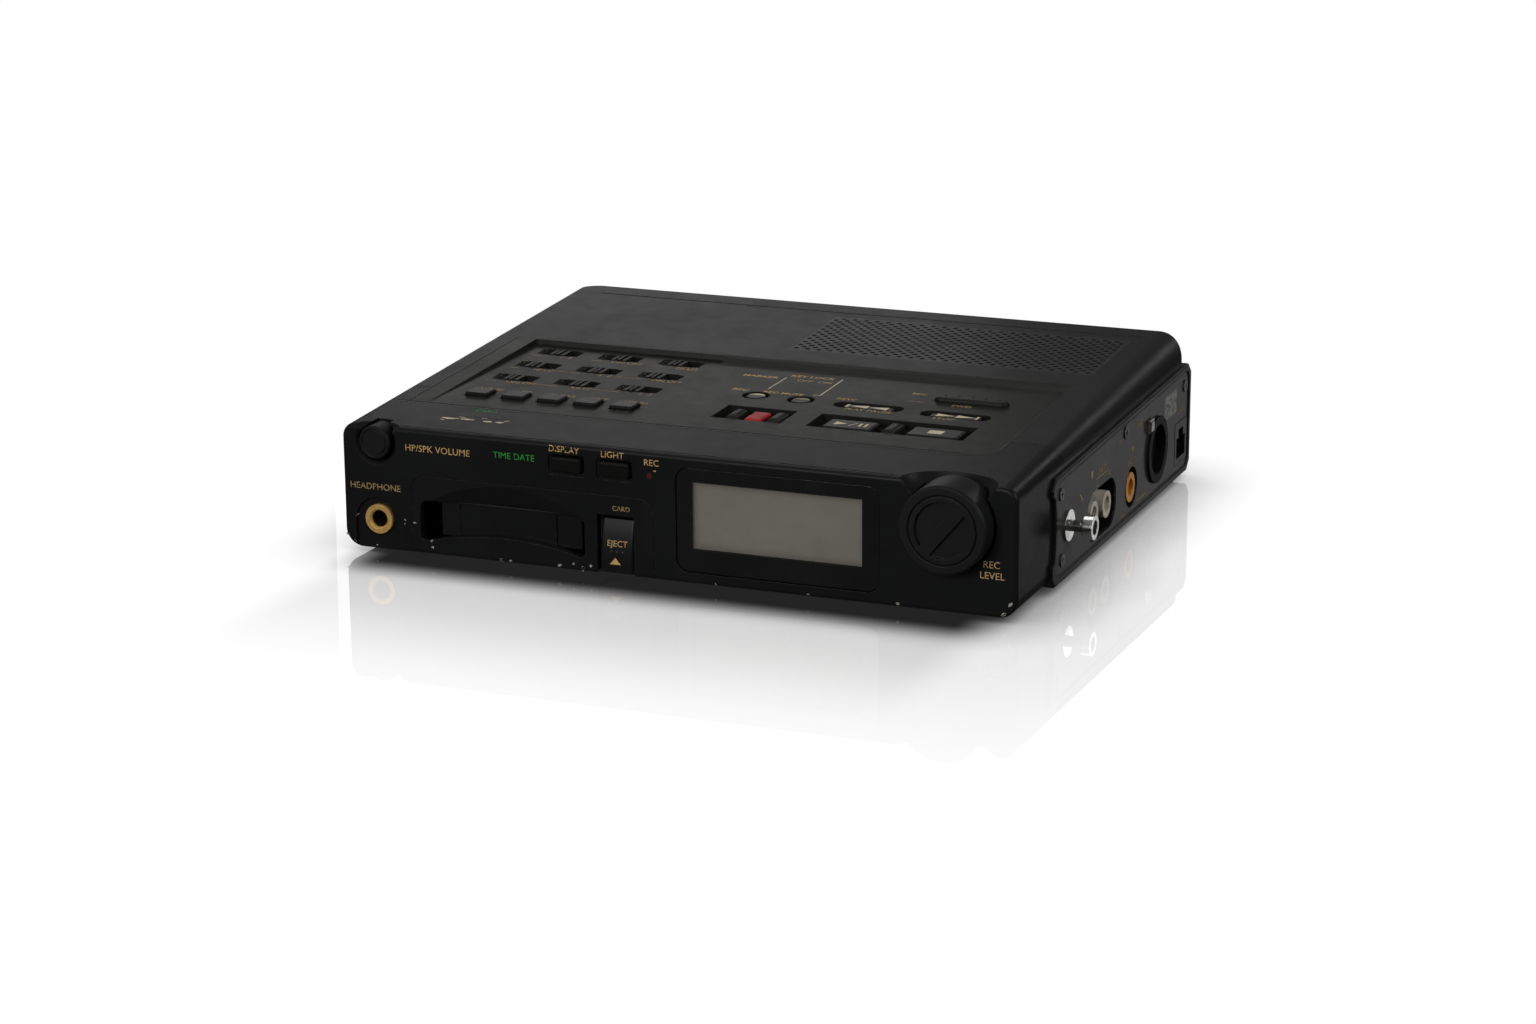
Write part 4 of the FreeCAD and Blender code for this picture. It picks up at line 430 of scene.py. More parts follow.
col = k.mix(k.math("MULTIPLY", edge_painted_shade, 0.35), col, (0.055, 0.053, 0.043))
k.principled(col, k.ramp(cloud, 0.2, 0.8, 0.34, 0.5), 0.0, 0.5, normal=k.bump(k.noise(3000.0, 2.0), 0.05, 0.00002))
set_mat("lcd_panel", k.mat)

# record lamp, unlit
k = Net("lamp_lens")
n1 = k.noise(900.0, 3.0)
k.principled(k.mix(k.ramp(n1, 0.3, 0.7), (0.16, 0.012, 0.012), (0.09, 0.01, 0.012)), k.ramp(n1, 0.2, 0.8, 0.16, 0.28), 0.0, 0.5, coat=0.4,
             normal=k.bump(n1, 0.1, 0.00003))
set_mat("rec_led", k.mat)

# feet: rubber
k = Net("foot_rubber")
n1, n2 = k.noise(300.0, 5.0, 0.7), k.noise(1800.0, 3.0)
col = k.mix(k.ramp(n1, 0.4, 0.7), (0.018, 0.018, 0.018), (0.05, 0.048, 0.044))
k.principled(col, k.ramp(n1, 0.2, 0.8, 0.6, 0.85), 0.0, 0.4, normal=k.bump(n2, 0.5, 0.0001, k.edge(0.0004)))
set_mat("rubber_feet", k.mat)

# circuit boards: green resist over a copper pattern
k = Net("circuit_board")
t = k.n("ShaderNodeTexBrick")
t.inputs["Scale"].default_value = 130.0
t.inputs["Mortar Size"].default_value = 0.04
t.inputs["Color1"].default_value = (0.010, 0.085, 0.035, 1)
t.inputs["Color2"].default_value = (0.008, 0.065, 0.028, 1)
t.inputs["Mortar"].default_value = (0.06, 0.16, 0.05, 1)
k.link(k.obj, t.inputs["Vector"])
X = k.xyz(k.geo.outputs["Normal"])
chip = k.ramp(k.xyz()[2], (5.9 + SZ) * MM, (6.3 + SZ) * MM)
chip = k.math("MULTIPLY", chip, k.ramp(k.xyz()[2], 0.012, 0.011))
col = k.mix(chip, t.outputs["Color"], (0.012, 0.012, 0.013))
k.principled(col, k.ramp(k.noise(200.0), 0.3, 0.7, 0.25, 0.4), 0.0, 0.5, normal=k.bump(t.outputs["Fac"], 0.2, 0.00005))
for n in ("main_board", "key_board"):
    set_mat(n, k.mat)

# cells: plain wrapped sleeves with metal ends
k = Net("battery_cell")
X = k.xyz()
nx = k.math("ABSOLUTE", k.xyz(k.geo.outputs["Normal"])[0])
end = k.ramp(nx, 0.8, 0.95)
stripe = k.band(k.math("FRACT", k.math("MULTIPLY", X[0], 1 / 0.0506)), 0.30, 0.78, 0.01)
col = k.mix(stripe, (0.30, 0.20, 0.07), (0.02, 0.022, 0.024))
col = k.mix(end, col, (0.6, 0.59, 0.56))
k.principled(col, k.ramp(k.noise(90.0), 0.3, 0.7, 0.22, 0.38), k.mixf(end, 0.3, 1.0), normal=k.bump(k.noise(400.0), 0.1, 0.00005))
set_mat("battery_cells", k.mat)

# ---------------------------------------------------------------- printed marks
def ink(name, color, dark, keep=0.5, rough=0.5):
    # screen print that has partly rubbed away
    k = Net(name)
    wear = k.ramp(k.noise(620.0, 4.0, 0.7), keep - 0.10, keep + 0.10)
    grit = k.noise(2600.0, 2.0)
    col = k.mix(k.ramp(grit, 0.35, 0.65), color, tuple(c * 0.72 for c in color))
    col = k.mix(wear, dark, col)
    k.principled(col, k.ramp(grit, 0.2, 0.8, rough - 0.08, rough + 0.1), 0.0, 0.4, normal=k.bump(grit, 0.2, 0.00002))
    return k.mat


INK = {
    "tan": ink("print_tan", (0.95, 0.62, 0.24), (0.28, 0.19, 0.09), 0.34),
    "tan_worn": ink("print_tan_worn", (0.68, 0.46, 0.19), (0.12, 0.09, 0.05), 0.42),
    "faint": ink("print_faint", (0.12, 0.10, 0.07), (0.02, 0.019, 0.017), 0.46),
    "cream": ink("print_cream", (1.0, 0.88, 0.62), (0.45, 0.34, 0.20), 0.34),
    "beige": ink("print_beige", (0.46, 0.40, 0.30), (0.16, 0.13, 0.09), 0.42),
    "green": ink("print_green", (0.05, 0.50, 0.09), (0.015, 0.09, 0.02), 0.42),
    "chip": ink("paint_chip", (0.62, 0.58, 0.50), (0.30, 0.27, 0.22), 0.40, 0.6),
    "scuff": ink("scuff_mark", (0.16, 0.15, 0.135), (0.03, 0.03, 0.028), 0.55, 0.55),
    "gapline": ink("parting_gap", (0.0022, 0.0022, 0.0022), (0.0016, 0.0016, 0.0016), 0.5, 0.7),
    # pale strip beside parting gaps: a painted highlight on their rounded edges
    "lip": ink("parting_lip", (0.050, 0.049, 0.045), (0.022, 0.0215, 0.020), 0.46, 0.30),
    "brass": None,
}
k = Net("contact_brass")
n1 = k.noise(700.0, 4.0)
k.principled(k.mix(k.ramp(n1, 0.35, 0.7), (0.75, 0.50, 0.20), (0.45, 0.28, 0.10)), k.ramp(n1, 0.2, 0.8, 0.2, 0.36), 1.0,
             normal=k.bump(n1, 0.15, 0.00003))
INK["brass"] = k.mat

_text_cache = {}


def text_geo(s, size, bold=0.0, space=1.0):
    key = (s, size, bold, space)
    if key in _text_cache:
        return _text_cache[key]
    cu = bpy.data.curves.new("t", "FONT")
    cu.body = s
    cu.size = size
    cu.offset = bold
    cu.align_x = "CENTER"
    cu.align_y = "CENTER"
    cu.space_character = space
    cu.resolution_u = 3
    ob = bpy.data.objects.new("t", cu)
    bpy.context.scene.collection.objects.link(ob)
    bpy.context.view_layer.update()
    me = bpy.data.meshes.new_from_object(ob.evaluated_get(bpy.context.evaluated_depsgraph_get()))
    v = [(p.co.x, p.co.y) for p in me.vertices]
    f = [tuple(p.vertices) for p in me.polygons]
    bpy.data.objects.remove(ob)
    bpy.data.curves.remove(cu)
    bpy.data.meshes.remove(me)
    _text_cache[key] = (v, f)
    return v, f


def poly(pts):
    return [tuple(p) for p in pts], [tuple(range(len(pts)))]


def rect(w, h):
    return poly([(-w / 2, -h / 2), (w / 2, -h / 2), (w / 2, h / 2), (-w / 2, h / 2)])


def tri(w, h):
    # points along +x
    return poly([(-w / 2, -h / 2), (w / 2, 0), (-w / 2, h / 2)])


def merge(*items):
    v, f = [], []
    for (iv, jf), dx, dy in items:
        b = len(v)
        v += [(p[0] + dx, p[1] + dy) for p in iv]
        f += [tuple(b + i for i in q) for q in jf]
    return v, f


def stroke(pts, w):
    # a polyline of constant width
    v, f = [], []
    for (x0, y0), (x1, y1) in zip(pts, pts[1:]):
        dx, dy = x1 - x0, y1 - y0
        L = math.hypot(dx, dy) or 1
        nx, ny = -dy / L * w / 2, dx / L * w / 2
        b = len(v)
        v += [(x0 + nx, y0 + ny), (x0 - nx, y0 - ny), (x1 - nx, y1 - ny), (x1 + nx, y1 + ny)]
        f.append((b, b + 1, b + 2, b + 3))
    return v, f


_bvh = {}


def bvh(names):
    key = tuple(names)
    if key not in _bvh:
        vs, fs = [], []
        for n in names:
            me = nodes[n].data
            b = len(vs)
            vs += [v.co.copy() for v in me.vertices]
            fs += [tuple(b + i for i in p.vertices) for p in me.polygons]
        _bvh[key] = BVHTree.FromPolygons(vs, fs)
    return _bvh[key]


PLANES = {
    # side: direction of sight, u axis, v axis
    "top": (Vector((0, 0, -1)), Vector((1, 0, 0)), Vector((0, 1, 0))),
    "front": (Vector((0, 1, 0)), Vector((1, 0, 0)), Vector((0, 0, 1))),
    "right": (Vector((-1, 0, 0)), Vector((0, 1, 0)), Vector((0, 0, 1))),
    "left": (Vector((1, 0, 0)), Vector((0, -1, 0)), Vector((0, 0, 1))),
    "back": (Vector((0, -1, 0)), Vector((-1, 0, 0)), Vector((0, 0, 1))),
}
PRINTS = {}


def mark(group, body, inkname, side, on, a, b, geo, angle=0.0, lift=0.045, level=None, flat=False):
    """Lays flat geometry on the CAD surface seen from one side. a, b: its centre in model mm (top: x,y; front: x,z; right: y,z)."""
    sight, u, v = PLANES[side]
    key = (group, body, inkname)
    if key not in PRINTS:
        PRINTS[key] = ([], [])
    V, F = PRINTS[key]
    ca, sa = math.cos(math.radians(angle)), math.sin(math.radians(angle))
    pts = []
    tree = bvh(on)
    for (x, y) in geo[0]:
        px, py = (x * ca - y * sa), (x * sa + y * ca)
        if side == "top":
            o = P(a + px, b + py, 90)
        elif side == "front":
            o = P(a + px, -40, b + py)
        elif side == "right":
            o = P(320, a + px, b + py)
        elif side == "left":
            o = P(-60, a - px, b + py)
        else:
            o = P(a - px, 260, b + py)
        hit, nor, idx, dist = tree.ray_cast(o, sight)
        pts.append((o, dist))
    ds = sorted(d for o, d in pts if d is not None)
    if not ds:
        print("MARK missed", group, side, a, b)
        return
    mid = ds[len(ds) // 2]
    if flat:
        level = ds[0]
    base = len(V)
    for o, d in pts:
        if d is None or abs(d - mid) > 0.0012:
            d = mid
        if level is not None:
            d = level
        V.append(o + sight * (d - lift * MM))
    F += [tuple(base + i for i in q) for q in geo[1]]


def label(group, body, inkname, side, on, a, b, s, size, angle=0.0, bold=0.0, space=1.0, **kw):
    mark(group, body, inkname, side, on, a, b, text_geo(s, size, bold, space), angle, **kw)


def build_prints():
    for (group, body, inkname), (V, F) in PRINTS.items():
        me = bpy.data.meshes.new(group + "_" + inkname)
        me.from_pydata([tuple(v) for v in V], [], F)
        me.update()
        ob = bpy.data.objects.new(group + "_" + inkname, me)
        bpy.context.scene.collection.objects.link(ob)
        me.materials.append(INK[inkname])
        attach(ob, body)


TOP = ["control_plate", "top_cover", "front_bezel"]
FR = ["front_bezel", "card_panel"]
JP = ["jack_plate"]

# ---- front face words and marks
label("mark_front", "case", "tan", "front", FR, 39.6, 40.3, "HP/SPK VOLUME", 3.6, space=1.02)
label("mark_front", "case", "tan_worn", "front", FR, 13.4, 24.0, "HEADPHONE", 3.5, space=1.02)
label("mark_front", "case", "green", "front", FR, 70.8, 40.9, "TIME DATE", 3.4)
label("mark_front", "case", "tan", "front", FR, 90.9, 45.4, "DISPLAY", 3.3, angle=-1)
label("mark_front", "case", "tan", "front", FR, 110.2, 45.2, "LIGHT", 3.3)
label("mark_front", "case", "tan", "front", FR, 125.6, 43.7, "REC", 3.4)
mark("mark_front", "case", "tan_worn", "front", FR, 126.9, 40.9, rect(1.1, 0.5))
label("mark_front", "case", "tan_worn", "front", FR, 113.4, 25.3, "CARD", 2.6)
label("mark_front", "case", "tan", "front", FR, 254.6, 19.2, "REC", 3.6)
label("mark_front", "case", "tan", "front", FR, 254.8, 15.2, "LEVEL", 3.6)
# eject lever
EJ = ["eject_lever"]
label("mark_eject", "eject_lever", "tan", "front", EJ, 111.2, 11.7, "EJECT", 3.2)
mark("mark_eject", "eject_lever", "tan", "front", EJ, 110.6, 5.3, tri(2.6, 4.4), angle=90)
for i in (-1, 0, 1):
    mark("mark_eject", "eject_lever", "faint", "front", EJ, 111.2 + 2.2 * i, 8.9, rect(0.6, 0.6), angle=45)

# ---- keypad legend
SWX, SWY = [34.5, 60.5, 86.5], [77.5, 97.9, 118.3]
for r in range(3):
    for c in range(3):
        x, y = SWX[c], SWY[r]
        label("mark_keys", "case", "tan_worn", "top", TOP, x + 5.4, y - 6.6, ("ON OFF", "HI LO", "1  2")[(r + c) % 3], 3.6, bold=0.05)
        mark("mark_keys", "case", "tan_worn", "top", TOP, x - 7.4, y - 6.6, rect(4.4, 0.42))
        mark("mark_keys", "case", "faint", "top", TOP, x - 11.2, y + 5.2, stroke([(0, 0), (3.4, 0), (3.4, -2.4)], 0.35))
for c in range(2):
    mark("mark_keys", "case", "tan_worn", "top", TOP, SWX[c] + 13, 71.2, rect(6.4, 0.4))
    mark("mark_keys", "case", "tan_worn", "top", TOP, SWX[c] + 13, 91.6, rect(5.0, 0.4))
mark("mark_keys", "case", "tan_worn", "top", TOP, 92.5, 109.6, rect(9.0, 0.42))
for i, s in enumerate(("MODE", "SET", "ENTER", "EDIT", "MENU")):
    label("mark_keys", "case", "tan_worn", "top", TOP, 32 + 15 * i + 1.2, 58.9, s, 3.6, bold=0.05)
label("mark_keys", "case", "faint", "top", TOP, 62, 45.2, "SHIFT", 3.2, bold=0.05)
label("mark_keys", "case", "faint", "top", TOP, 92, 45.2, "CLEAR", 3.2, bold=0.05)
# faint line down the plate, right of the keys: a painted highlight along the crease at the key recess's right edge
mark("mark_keys", "case", "faint", "top", TOP, 98.2, 87.6, stroke([(2.0, -35), (-2.4, 35)], 0.45))

# ---- transport legend
label("mark_plate", "case", "tan", "top", TOP, 123.4, 110.2, "MARKER", 3.8, bold=0.05)
label("mark_plate", "case", "tan", "top", TOP, 143.2, 115.0, "KEY LOCK", 3.8, bold=0.05)
label("mark_plate", "case", "tan_worn", "top", TOP, 146.0, 109.2, "OFF  ON", 3.7, bold=0.05)
mark("mark_plate", "case", "cream", "top", TOP, 133.3, 102.6, stroke([(0.2, 9.0), (-0.2, -9.0)], 0.5))
mark("mark_plate", "case", "cream", "top", TOP, 155.2, 103.2, stroke([(0, 12.4), (0.1, -12.2), (-2.6, -12.4)], 0.5))
label("mark_plate", "case", "tan", "top", TOP, 123.6, 89.4, "REC", 3.7, bold=0.05)
label("mark_plate", "case", "tan", "top", TOP, 141.0, 89.4, "REC MUTE", 3.5, bold=0.05)
mark("mark_plate", "case", "tan", "top", TOP, 133.0, 86.4, rect(4.6, 0.4))
label("mark_plate", "case", "tan_worn", "top", TOP, 166.6, 89.2, "REW", 3.7, bold=0.05)
label("mark_plate", "case", "tan_worn", "top", TOP, 180.0, 76.6, "PLAY PAUSE", 3.5, bold=0.05)
label("mark_plate", "case", "tan_worn", "top", TOP, 210.2, 75.0, "STOP", 3.7, bold=0.05)
label("mark_plate", "case", "tan_worn", "top", TOP, 211.0, 93.4, "FWD", 3.5, bold=0.05)
label("mark_plate", "case", "tan_worn", "top", TOP, 190.4, 105.2, "MIC", 3.6, bold=0.05)
mark("mark_plate", "case", "tan_worn", "top", TOP, 192.6, 94.6, rect(6.2, 0.42))

# icons on the keys
RW, FF, PL, ST = ["rewind_button"], ["forward_button"], ["play_pause_button"], ["stop_button"]


def key_mid(node):
    lo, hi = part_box(node)
    a, b = D(lo), D(hi)
    return (a[0] + b[0]) / 2, (a[1] + b[1]) / 2


two_left = merge((tri(-7.4, 4.0), -3.0, 0.3), (tri(-7.4, 4.0), 4.8, 0.3), (rect(1.0, 4.0), -7.4, 0.3))
two_right = merge((tri(7.4, 4.0), -4.8, 0.3), (tri(7.4, 4.0), 3.0, 0.3), (rect(1.0, 4.0), 7.4, 0.3))
cx, cy = key_mid("rewind_button")
mark("mark_rewind", "rewind_button", "cream", "top", RW, cx - 1.0, cy, two_left, flat=True)
cx, cy = key_mid("forward_button")
mark("mark_forward", "forward_button", "cream", "top", FF, cx + 1.0, cy, two_right, flat=True)
cx, cy = key_mid("play_pause_button")
mark("mark_play", "play_pause_button", "cream", "top", PL, cx - 3.6, cy, tri(5.0, 4.6), flat=True)
mark("mark_play", "play_pause_button", "cream", "top", PL, cx + 1.0, cy, stroke([(-1.0, -2.3), (1.0, 2.3)], 0.5), flat=True)
mark("mark_play", "play_pause_button", "cream", "top", PL, cx + 5.0, cy, merge((rect(1.0, 4.4), -1.1, 0), (rect(1.0, 4.4), 1.1, 0)), flat=True)
cx, cy = key_mid("stop_button")
mark("mark_stop", "stop_button", "cream", "top", ST, cx, cy, rect(5.6, 4.6), flat=True)

# pale arcs on the two round keys: painted highlights on the back of their tops, brighter on the first key than the
# second
for nm in ("marker_button", "lock_button"):
    cx, cy = key_mid(nm)
    outer, inner = [], []
    for i in range(17):
        t = math.radians(15 + 150 * i / 16)
        outer.append((3.5 * math.cos(t), 3.5 * math.sin(t)))
        w = 0.3 + 2.0 * math.sin(math.pi * i / 16)
        inner.append(((3.5 - w) * math.cos(t), (3.5 - w) * math.sin(t)))
    v = outer + inner
    f = [(i, i + 1, 17 + i + 1, 17 + i) for i in range(16)]
    mark("mark_" + nm, nm, "cream" if nm == "marker_button" else "beige", "top", [nm], cx, cy, (v, f), flat=True)

# ---- parting lines of the plate, cover and bezel: a dark gap with a thin pale strip beside it, which is a painted highlight on the rounded edge
def dense(pts, step=4.0):
    out_ = [pts[0]]
    for (x0, y0), (x1, y1) in zip(pts, pts[1:]):
        n_ = max(1, int(math.hypot(x1 - x0, y1 - y0) / step))
        out_ += [(x0 + (x1 - x0) * i / n_, y0 + (y1 - y0) * i / n_) for i in range(1, n_ + 1)]
    return out_


def ribbon(pts, w, shift=0.0):
    # a mitred strip along a path, its middle moved sideways by shift
    v, f = [], []
    n_ = len(pts)
    for i, (x, y) in enumerate(pts):
        a_ = pts[max(0, i - 1)]
        b_ = pts[min(n_ - 1, i + 1)]
        dx, dy = b_[0] - a_[0], b_[1] - a_[1]
        L = math.hypot(dx, dy) or 1
        nx, ny = -dy / L, dx / L
        v += [(x + nx * (shift + w / 2), y + ny * (shift + w / 2)), (x + nx * (shift - w / 2), y + ny * (shift - w / 2))]
        if i:
            f.append((2 * i - 2, 2 * i - 1, 2 * i + 1, 2 * i))
    return v, f


def rounded(cx, cy, r, a0, a1, n_=7):
    return [(cx + r * math.cos(math.radians(a0 + (a1 - a0) * i / (n_ - 1))), cy + r * math.sin(math.radians(a0 + (a1 - a0) * i / (n_ - 1))))
            for i in range(n_)]


def seam(group, pts, w=0.42, lip=0.26, side=1, on=TOP, plane="top"):
    pts = dense(pts)
    n_ = 14
    for i in range(0, len(pts) - 1, n_):
        part = pts[i:i + n_ + 1]
        if len(part) < 2:
            continue
        mark(group, "case", "gapline", plane, on, 0, 0, ribbon(part, w), lift=0.05)
        if lip:
            mark(group, "case", "lip", plane, on, 0, 0, ribbon(part, lip, side * (w / 2 + lip / 2)), lift=0.07)


seam("seam_plate", [(6.0, 33.5), (235.0, 33.5)], 1.25, 0.70, -1)
seam("seam_plate", rounded(235.0, 41.5, 8.0, -90, 0) + [(243.0, 53.0)], 0.75, 0.45, -1)
seam("seam_plate", [(10.6, 34.5), (10.6, 129.6)], 0.40, 0.26, 1)
seam("seam_plate", [(243.0, 53.0), (243.0, 129.6)], 0.40, 0.26, -1)
seam("seam_plate", [(5.0, 53.0), (10.6, 53.0)], 1.0, 0.5, -1)
seam("seam_plate", [(243.0, 53.0), (254.0, 53.0)], 1.0, 0.6, -1)
# dark line along the key recess's left edge and back-left corner: painted shade at the recess step, not a parting line
seam("seam_plate", [(19.0, 37.5), (19.0, 122.0)] + rounded(25.0, 122.4, 6.0, 180, 90), 0.60, 0.0)

# ---- bezel top: green word, worn patches, dark bar
label("mark_bezel", "case", "green", "top", TOP, 45.5, 29.4, "CARD", 3.2)


def flake(r, n=9, stretch=1.0, seed=0):
    q = random.Random(seed)
    pts = []
    for i in range(n):
        t = 2 * math.pi * i / n
        rr = r * q.uniform(0.55, 1.15)
        pts.append((rr * math.cos(t) * stretch, rr * math.sin(t)))
    return poly(pts)


for i, (x, y, r, s, a) in enumerate(((36.5, 17.0, 1.1, 3.6, 6), (43.6, 17.6, 0.8, 4.2, 5), (34.6, 14.6, 0.45, 3.0, -20), (40.5, 19.6, 0.4, 4.5, 3),
                                      (51.4, 17.2, 1.0, 2.6, 4), (56.6, 17.6, 1.1, 2.2, 10), (58.6, 19.8, 0.5, 2.5, 30), (49.0, 20.6, 0.35, 5, 2))):
    mark("mark_worn", "case", "cream", "top", TOP, x, y, flake(r, 11, s, 40 + i), angle=a)
mark("mark_worn", "case", "scuff", "top", TOP, 48.0, 22.4, rect(25, 1.1), angle=8)

# ---- chips along the lower front edge and corners
chips = [(0.9, 4.6, 0.7), (3.9, 1.9, 0.8), (5.1, 12.3, 0.35), (25.2, 10.9, 0.35), (25.4, 12.4, 0.3), (29.4, 11.7, 0.35), (36.5, 3.0, 0.55),
         (36.2, 5.4, 0.45), (23.1, 1.4, 0.55), (64.7, 1.0, 0.8), (68.4, 1.1, 0.5), (88.4, 1.5, 0.5), (94.1, 2.7, 0.5), (100.9, 2.6, 0.5),
         (97.6, 1.2, 0.6), (219.9, 1.5, 0.7), (259.1, 1.7, 0.7), (261.6, 5.6, 0.7), (12.6, 1.2, 0.4), (150.2, 1.0, 0.35), (186.0, 1.1, 0.3)]
for i, (x, z, r) in enumerate(chips):
    mark("mark_chips", "case", "chip", "front", FR, x, z, flake(r, 8, 1.0 + 0.6 * (i % 3), 100 + i), angle=25 * (i % 5))
# arc scratch under the level knob
arc = [(17.8 * math.cos(math.radians(t)), 17.8 * math.sin(math.radians(t))) for t in range(222, 262, 4)]
mark("mark_chips", "case", "scuff", "front", FR, 239.2, 32.4, stroke(arc, 0.28))

# ---- right side legends
for (y, z, s, size) in ((97.0, 30.4, "LINE IN", 3.4), (91.0, 26.2, "L", 3.2), (107.0, 26.2, "R", 3.2), (137.0, 23.6, "DIGITAL", 3.2),
                        (146.0, 36.0, "MIC", 3.2), (203.0, 27.6, "LINE", 3.2), (120.0, 34.6, "IN", 3.0), (126.0, 5.4, "OUT", 3.0)):
    label("mark_side", "case", "tan_worn", "right", JP, y, z, s, size)
mark("mark_side", "case", "tan", "right", JP, 84.6, 31.0, tri(3.0, 2.6), angle=-90)
mark("mark_side", "case", "tan", "right", JP, 71.8, 26.0, stroke([(-1.8, 1.6), (1.6, -1.6)], 0.5))
mark("mark_side", "case", "tan_worn", "right", JP, 137.0, 27.6, tri(2.8, 2.6), angle=-90)
mark("mark_side", "case", "tan_worn", "right", JP, 150.0, 6.0, rect(14, 0.45))
mark("mark_side", "case", "tan_worn", "right", JP, 97.6, 28.2, stroke([(-8, -1.2), (-8, 0), (8, 0), (8, -1.2)], 0.35))

build_prints()

# ---------------------------------------------------------------- line socket contacts
bm = bmesh.new()
for i in range(6):
    y = 200.4 + i * 1.55
    a = [P(253.2, y, 16.4), P(257.0, y, 14.9), P(261.8, y, 12.6), P(263.4, y, 12.3)]
    prev = None
    for p in a:
        ring = []
        for t in range(6):
            ang = t * math.pi / 3
            ring.append(bm.verts.new(p + Vector((0, math.cos(ang) * 0.00028, math.sin(ang) * 0.00028))))
        if prev:
            for t in range(6):
                bm.faces.new((prev[t], prev[(t + 1) % 6], ring[(t + 1) % 6], ring[t]))
        prev = ring
me = bpy.data.meshes.new("line_contacts")
bm.to_mesh(me)
bm.free()
ob = bpy.data.objects.new("line_contacts", me)
bpy.context.scene.collection.objects.link(ob)
me.materials.append(INK["brass"])
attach(ob, "case")

# ---------------------------------------------------------------- stage
me = bpy.data.meshes.new("studio_floor")
R = 60.0
me.from_pydata([(-R, -R, -0.00005), (R, -R, -0.00005), (R, R, -0.00005), (-R, R, -0.00005)], [], [(0, 1, 2, 3)])
floor = bpy.data.objects.new("studio_floor", me)
bpy.context.scene.collection.objects.link(floor)
k = Net("studio_floor")
X = k.xyz()
dx = k.math("MAXIMUM", k.math("SUBTRACT", k.math("ABSOLUTE", X[0]), 0.132), 0.0)
dy = k.math("MAXIMUM", k.math("SUBTRACT", k.math("ABSOLUTE", X[1]), 0.104), 0.0)
dist = k.math("SQRT", k.math("ADD", k.math("MULTIPLY", dx, dx), k.math("MULTIPLY", dy, dy)))
# painted contact shadow: the floor's glow is darkened by ambient occlusion near the object and by a dark band painted
# in front of its front face
ao = k.n("ShaderNodeAmbientOcclusion", samples=12)
ao.inputs["Distance"].default_value = 0.035
shade = k.math("POWER", ao.outputs["AO"], 1.2)
fr = k.math("SUBTRACT", -0.1035, X[1])
dark_a = k.ramp(fr, 0.006, 0.029, 0.0, 0.78)
dark_b = k.ramp(fr, 0.028, 0.13, 0.0, 0.22)
front_painted_shadow = k.math("ADD", dark_a, dark_b)
wide = k.math("MULTIPLY", k.ramp(k.math("ABSOLUTE", k.math("ADD", X[0], 0.001)), 0.112, 0.134, 1.0, 0.0), k.ramp(X[1], -0.06, -0.09, 0.0, 1.0))
front_painted_shadow = k.math("SUBTRACT", 1.0, k.math("MULTIPLY", wide, k.math("SUBTRACT", 1.0, front_painted_shadow)))
shade = k.math("MULTIPLY", shade, front_painted_shadow)
near = k.ramp(dist, 0.0, 0.18, 1.0, 0.0)
kf = k.math("MULTIPLY", near, 0.20)
em = k.n("ShaderNodeEmission")
k.link(k.mix(shade, (0.02, 0.02, 0.02), (1.0, 1.0, 1.0)), em.inputs["Color"])
em.inputs["Strength"].default_value = 1.0
gl = k.n("ShaderNodeBsdfGlossy")
gl.inputs["Roughness"].default_value = 0.0
gl.inputs["Color"].default_value = (1, 1, 1, 1)
mx = k.n("ShaderNodeMixShader")
k.link(kf, mx.inputs[0])
k.link(em.outputs[0], mx.inputs[1])
k.link(gl.outputs[0], mx.inputs[2])
k.link(mx.outputs[0], k.out.inputs["Surface"])
me.materials.append(k.mat)
floor.visible_diffuse = False
floor.visible_glossy = False
floor.visible_shadow = False

# world: white behind the object and in the floor's mirror, a soft grey room for the plastic
world = bpy.data.worlds.new("studio")
bpy.context.scene.world = world
world.use_nodes = True
t = world.node_tree
t.nodes.clear()
out = t.nodes.new("ShaderNodeOutputWorld")
lp = t.nodes.new("ShaderNodeLightPath")
white = t.nodes.new("ShaderNodeBackground")
white.inputs[0].default_value = (1, 1, 1, 1)
white.inputs[1].default_value = 1.0
tc = t.nodes.new("ShaderNodeTexCoord")
sep = t.nodes.new("ShaderNodeSeparateXYZ")
t.links.new(tc.outputs["Generated"], sep.inputs[0])
mr = t.nodes.new("ShaderNodeMapRange")
mr.interpolation_type = "SMOOTHSTEP"
mr.inputs["From Min"].default_value = -0.25
mr.inputs["From Max"].default_value = 0.75
mr.inputs["To Min"].default_value = 0.045
mr.inputs["To Max"].default_value = 0.13
t.links.new(sep.outputs[2], mr.inputs["Value"])
left = t.nodes.new("ShaderNodeMapRange")
left.interpolation_type = "SMOOTHSTEP"
left.inputs["From Min"].default_value = 0.35
left.inputs["From Max"].default_value = -0.75
left.inputs["To Min"].default_value = 0.55
left.inputs["To Max"].default_value = 1.9
t.links.new(sep.outputs[0], left.inputs["Value"])
mul = t.nodes.new("ShaderNodeMath")
mul.operation = "MULTIPLY"
t.links.new(mr.outputs[0], mul.inputs[0])
t.links.new(left.outputs[0], mul.inputs[1])
grey = t.nodes.new("ShaderNodeBackground")
grey.inputs[0].default_value = (1.0, 0.99, 0.97, 1)
t.links.new(mul.outputs[0], grey.inputs[1])
mxn = t.nodes.new("ShaderNodeMath")
mxn.operation = "MAXIMUM"
t.links.new(lp.outputs["Is Camera Ray"], mxn.inputs[0])
t.links.new(lp.outputs["Is Singular Ray"], mxn.inputs[1])
ms = t.nodes.new("ShaderNodeMixShader")
t.links.new(mxn.outputs[0], ms.inputs[0])
t.links.new(grey.outputs[0], ms.inputs[1])
t.links.new(white.outputs[0], ms.inputs[2])
t.links.new(ms.outputs[0], out.inputs["Surface"])


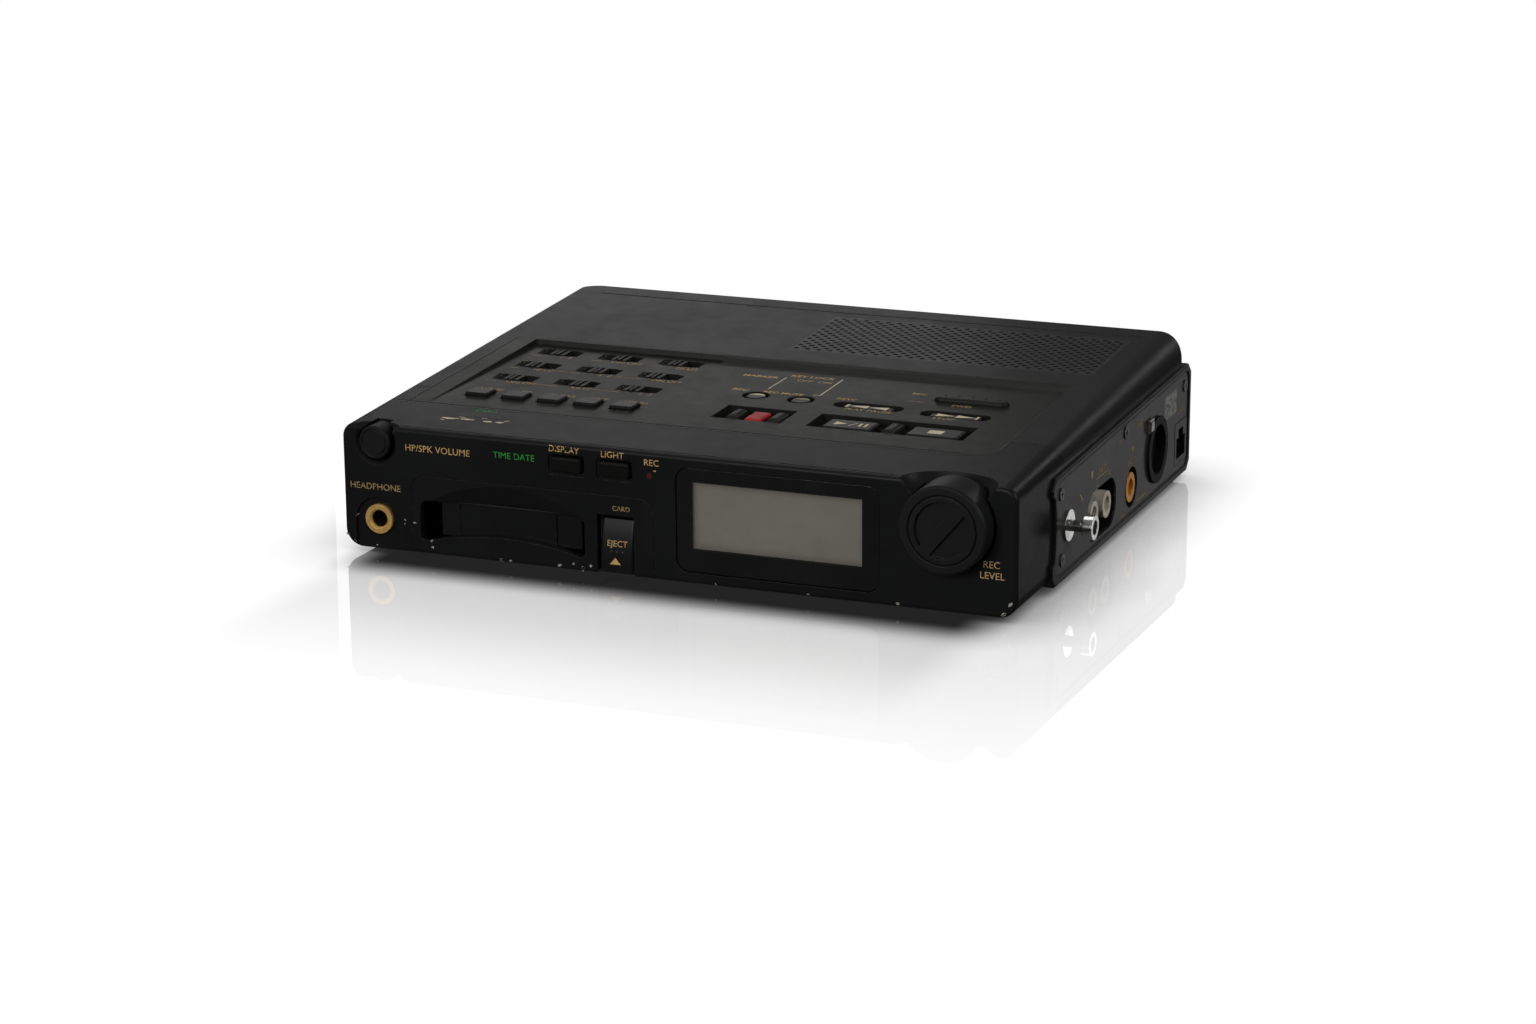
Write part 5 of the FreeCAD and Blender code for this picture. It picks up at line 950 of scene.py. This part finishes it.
def area(name, loc, aim, size, size_y, power, color=(1, 1, 1)):
    ld = bpy.data.lights.new(name, "AREA")
    ld.shape = "RECTANGLE"
    ld.size, ld.size_y = size, size_y
    ld.energy = power
    ld.color = color
    lo = bpy.data.objects.new(name, ld)
    bpy.context.scene.collection.objects.link(lo)
    lo.location = loc
    lo.rotation_euler = (Vector(aim) - Vector(loc)).to_track_quat("-Z", "Y").to_euler()
    lo.visible_camera = False
    return lo


area("key_soft", (-0.30, 0.35, 1.4), (0, 0, 0.03), 1.0, 0.8, 2.8)
area("fill_front", (-0.2, -1.7, 0.6), (0, 0, 0.03), 1.0, 0.6, 10.0)
area("side_right", (1.5, -0.2, 0.75), (0.1, 0, 0.03), 0.7, 0.5, 6.5)
area("rim_back", (-0.30, 0.56, 0.21), (-0.05, 0.05, 0.05), 0.36, 0.12, 0.10)
area("side_low", (0.62, 1.30, -0.30), (0.13, 0.0, 0.02), 0.3, 0.25, 0.16)
area("edge_roll", (0.60, 1.75, 0.72), (0.10, 0.05, 0.05), 0.35, 0.22, 0.7)

# ---------------------------------------------------------------- camera
az, el, roll = math.radians(22.08), math.radians(15.80), math.radians(-0.35)
back = Vector((math.sin(az) * math.cos(el), -math.cos(az) * math.cos(el), math.sin(el)))
right = Vector((math.cos(az), math.sin(az), 0))
up = back.cross(right)
r_ = right * math.cos(roll) + up * math.sin(roll)
u_ = -right * math.sin(roll) + up * math.cos(roll)
cam_d = bpy.data.cameras.new("camera")
cam = bpy.data.objects.new("camera", cam_d)
bpy.context.scene.collection.objects.link(cam)
cam.matrix_world = Matrix(((r_.x, u_.x, back.x, 0.5077), (r_.y, u_.y, back.y, -1.25985), (r_.z, u_.z, back.z, 0.3851), (0, 0, 0, 1)))
cam_d.sensor_width = 36.0
cam_d.sensor_fit = "HORIZONTAL"
cam_d.lens = 85.48
cam_d.clip_start = 0.01
cam_d.clip_end = 200.0
bpy.context.scene.camera = cam
bpy.context.scene.view_settings.view_transform = "Standard"

bpy.context.view_layer.update()
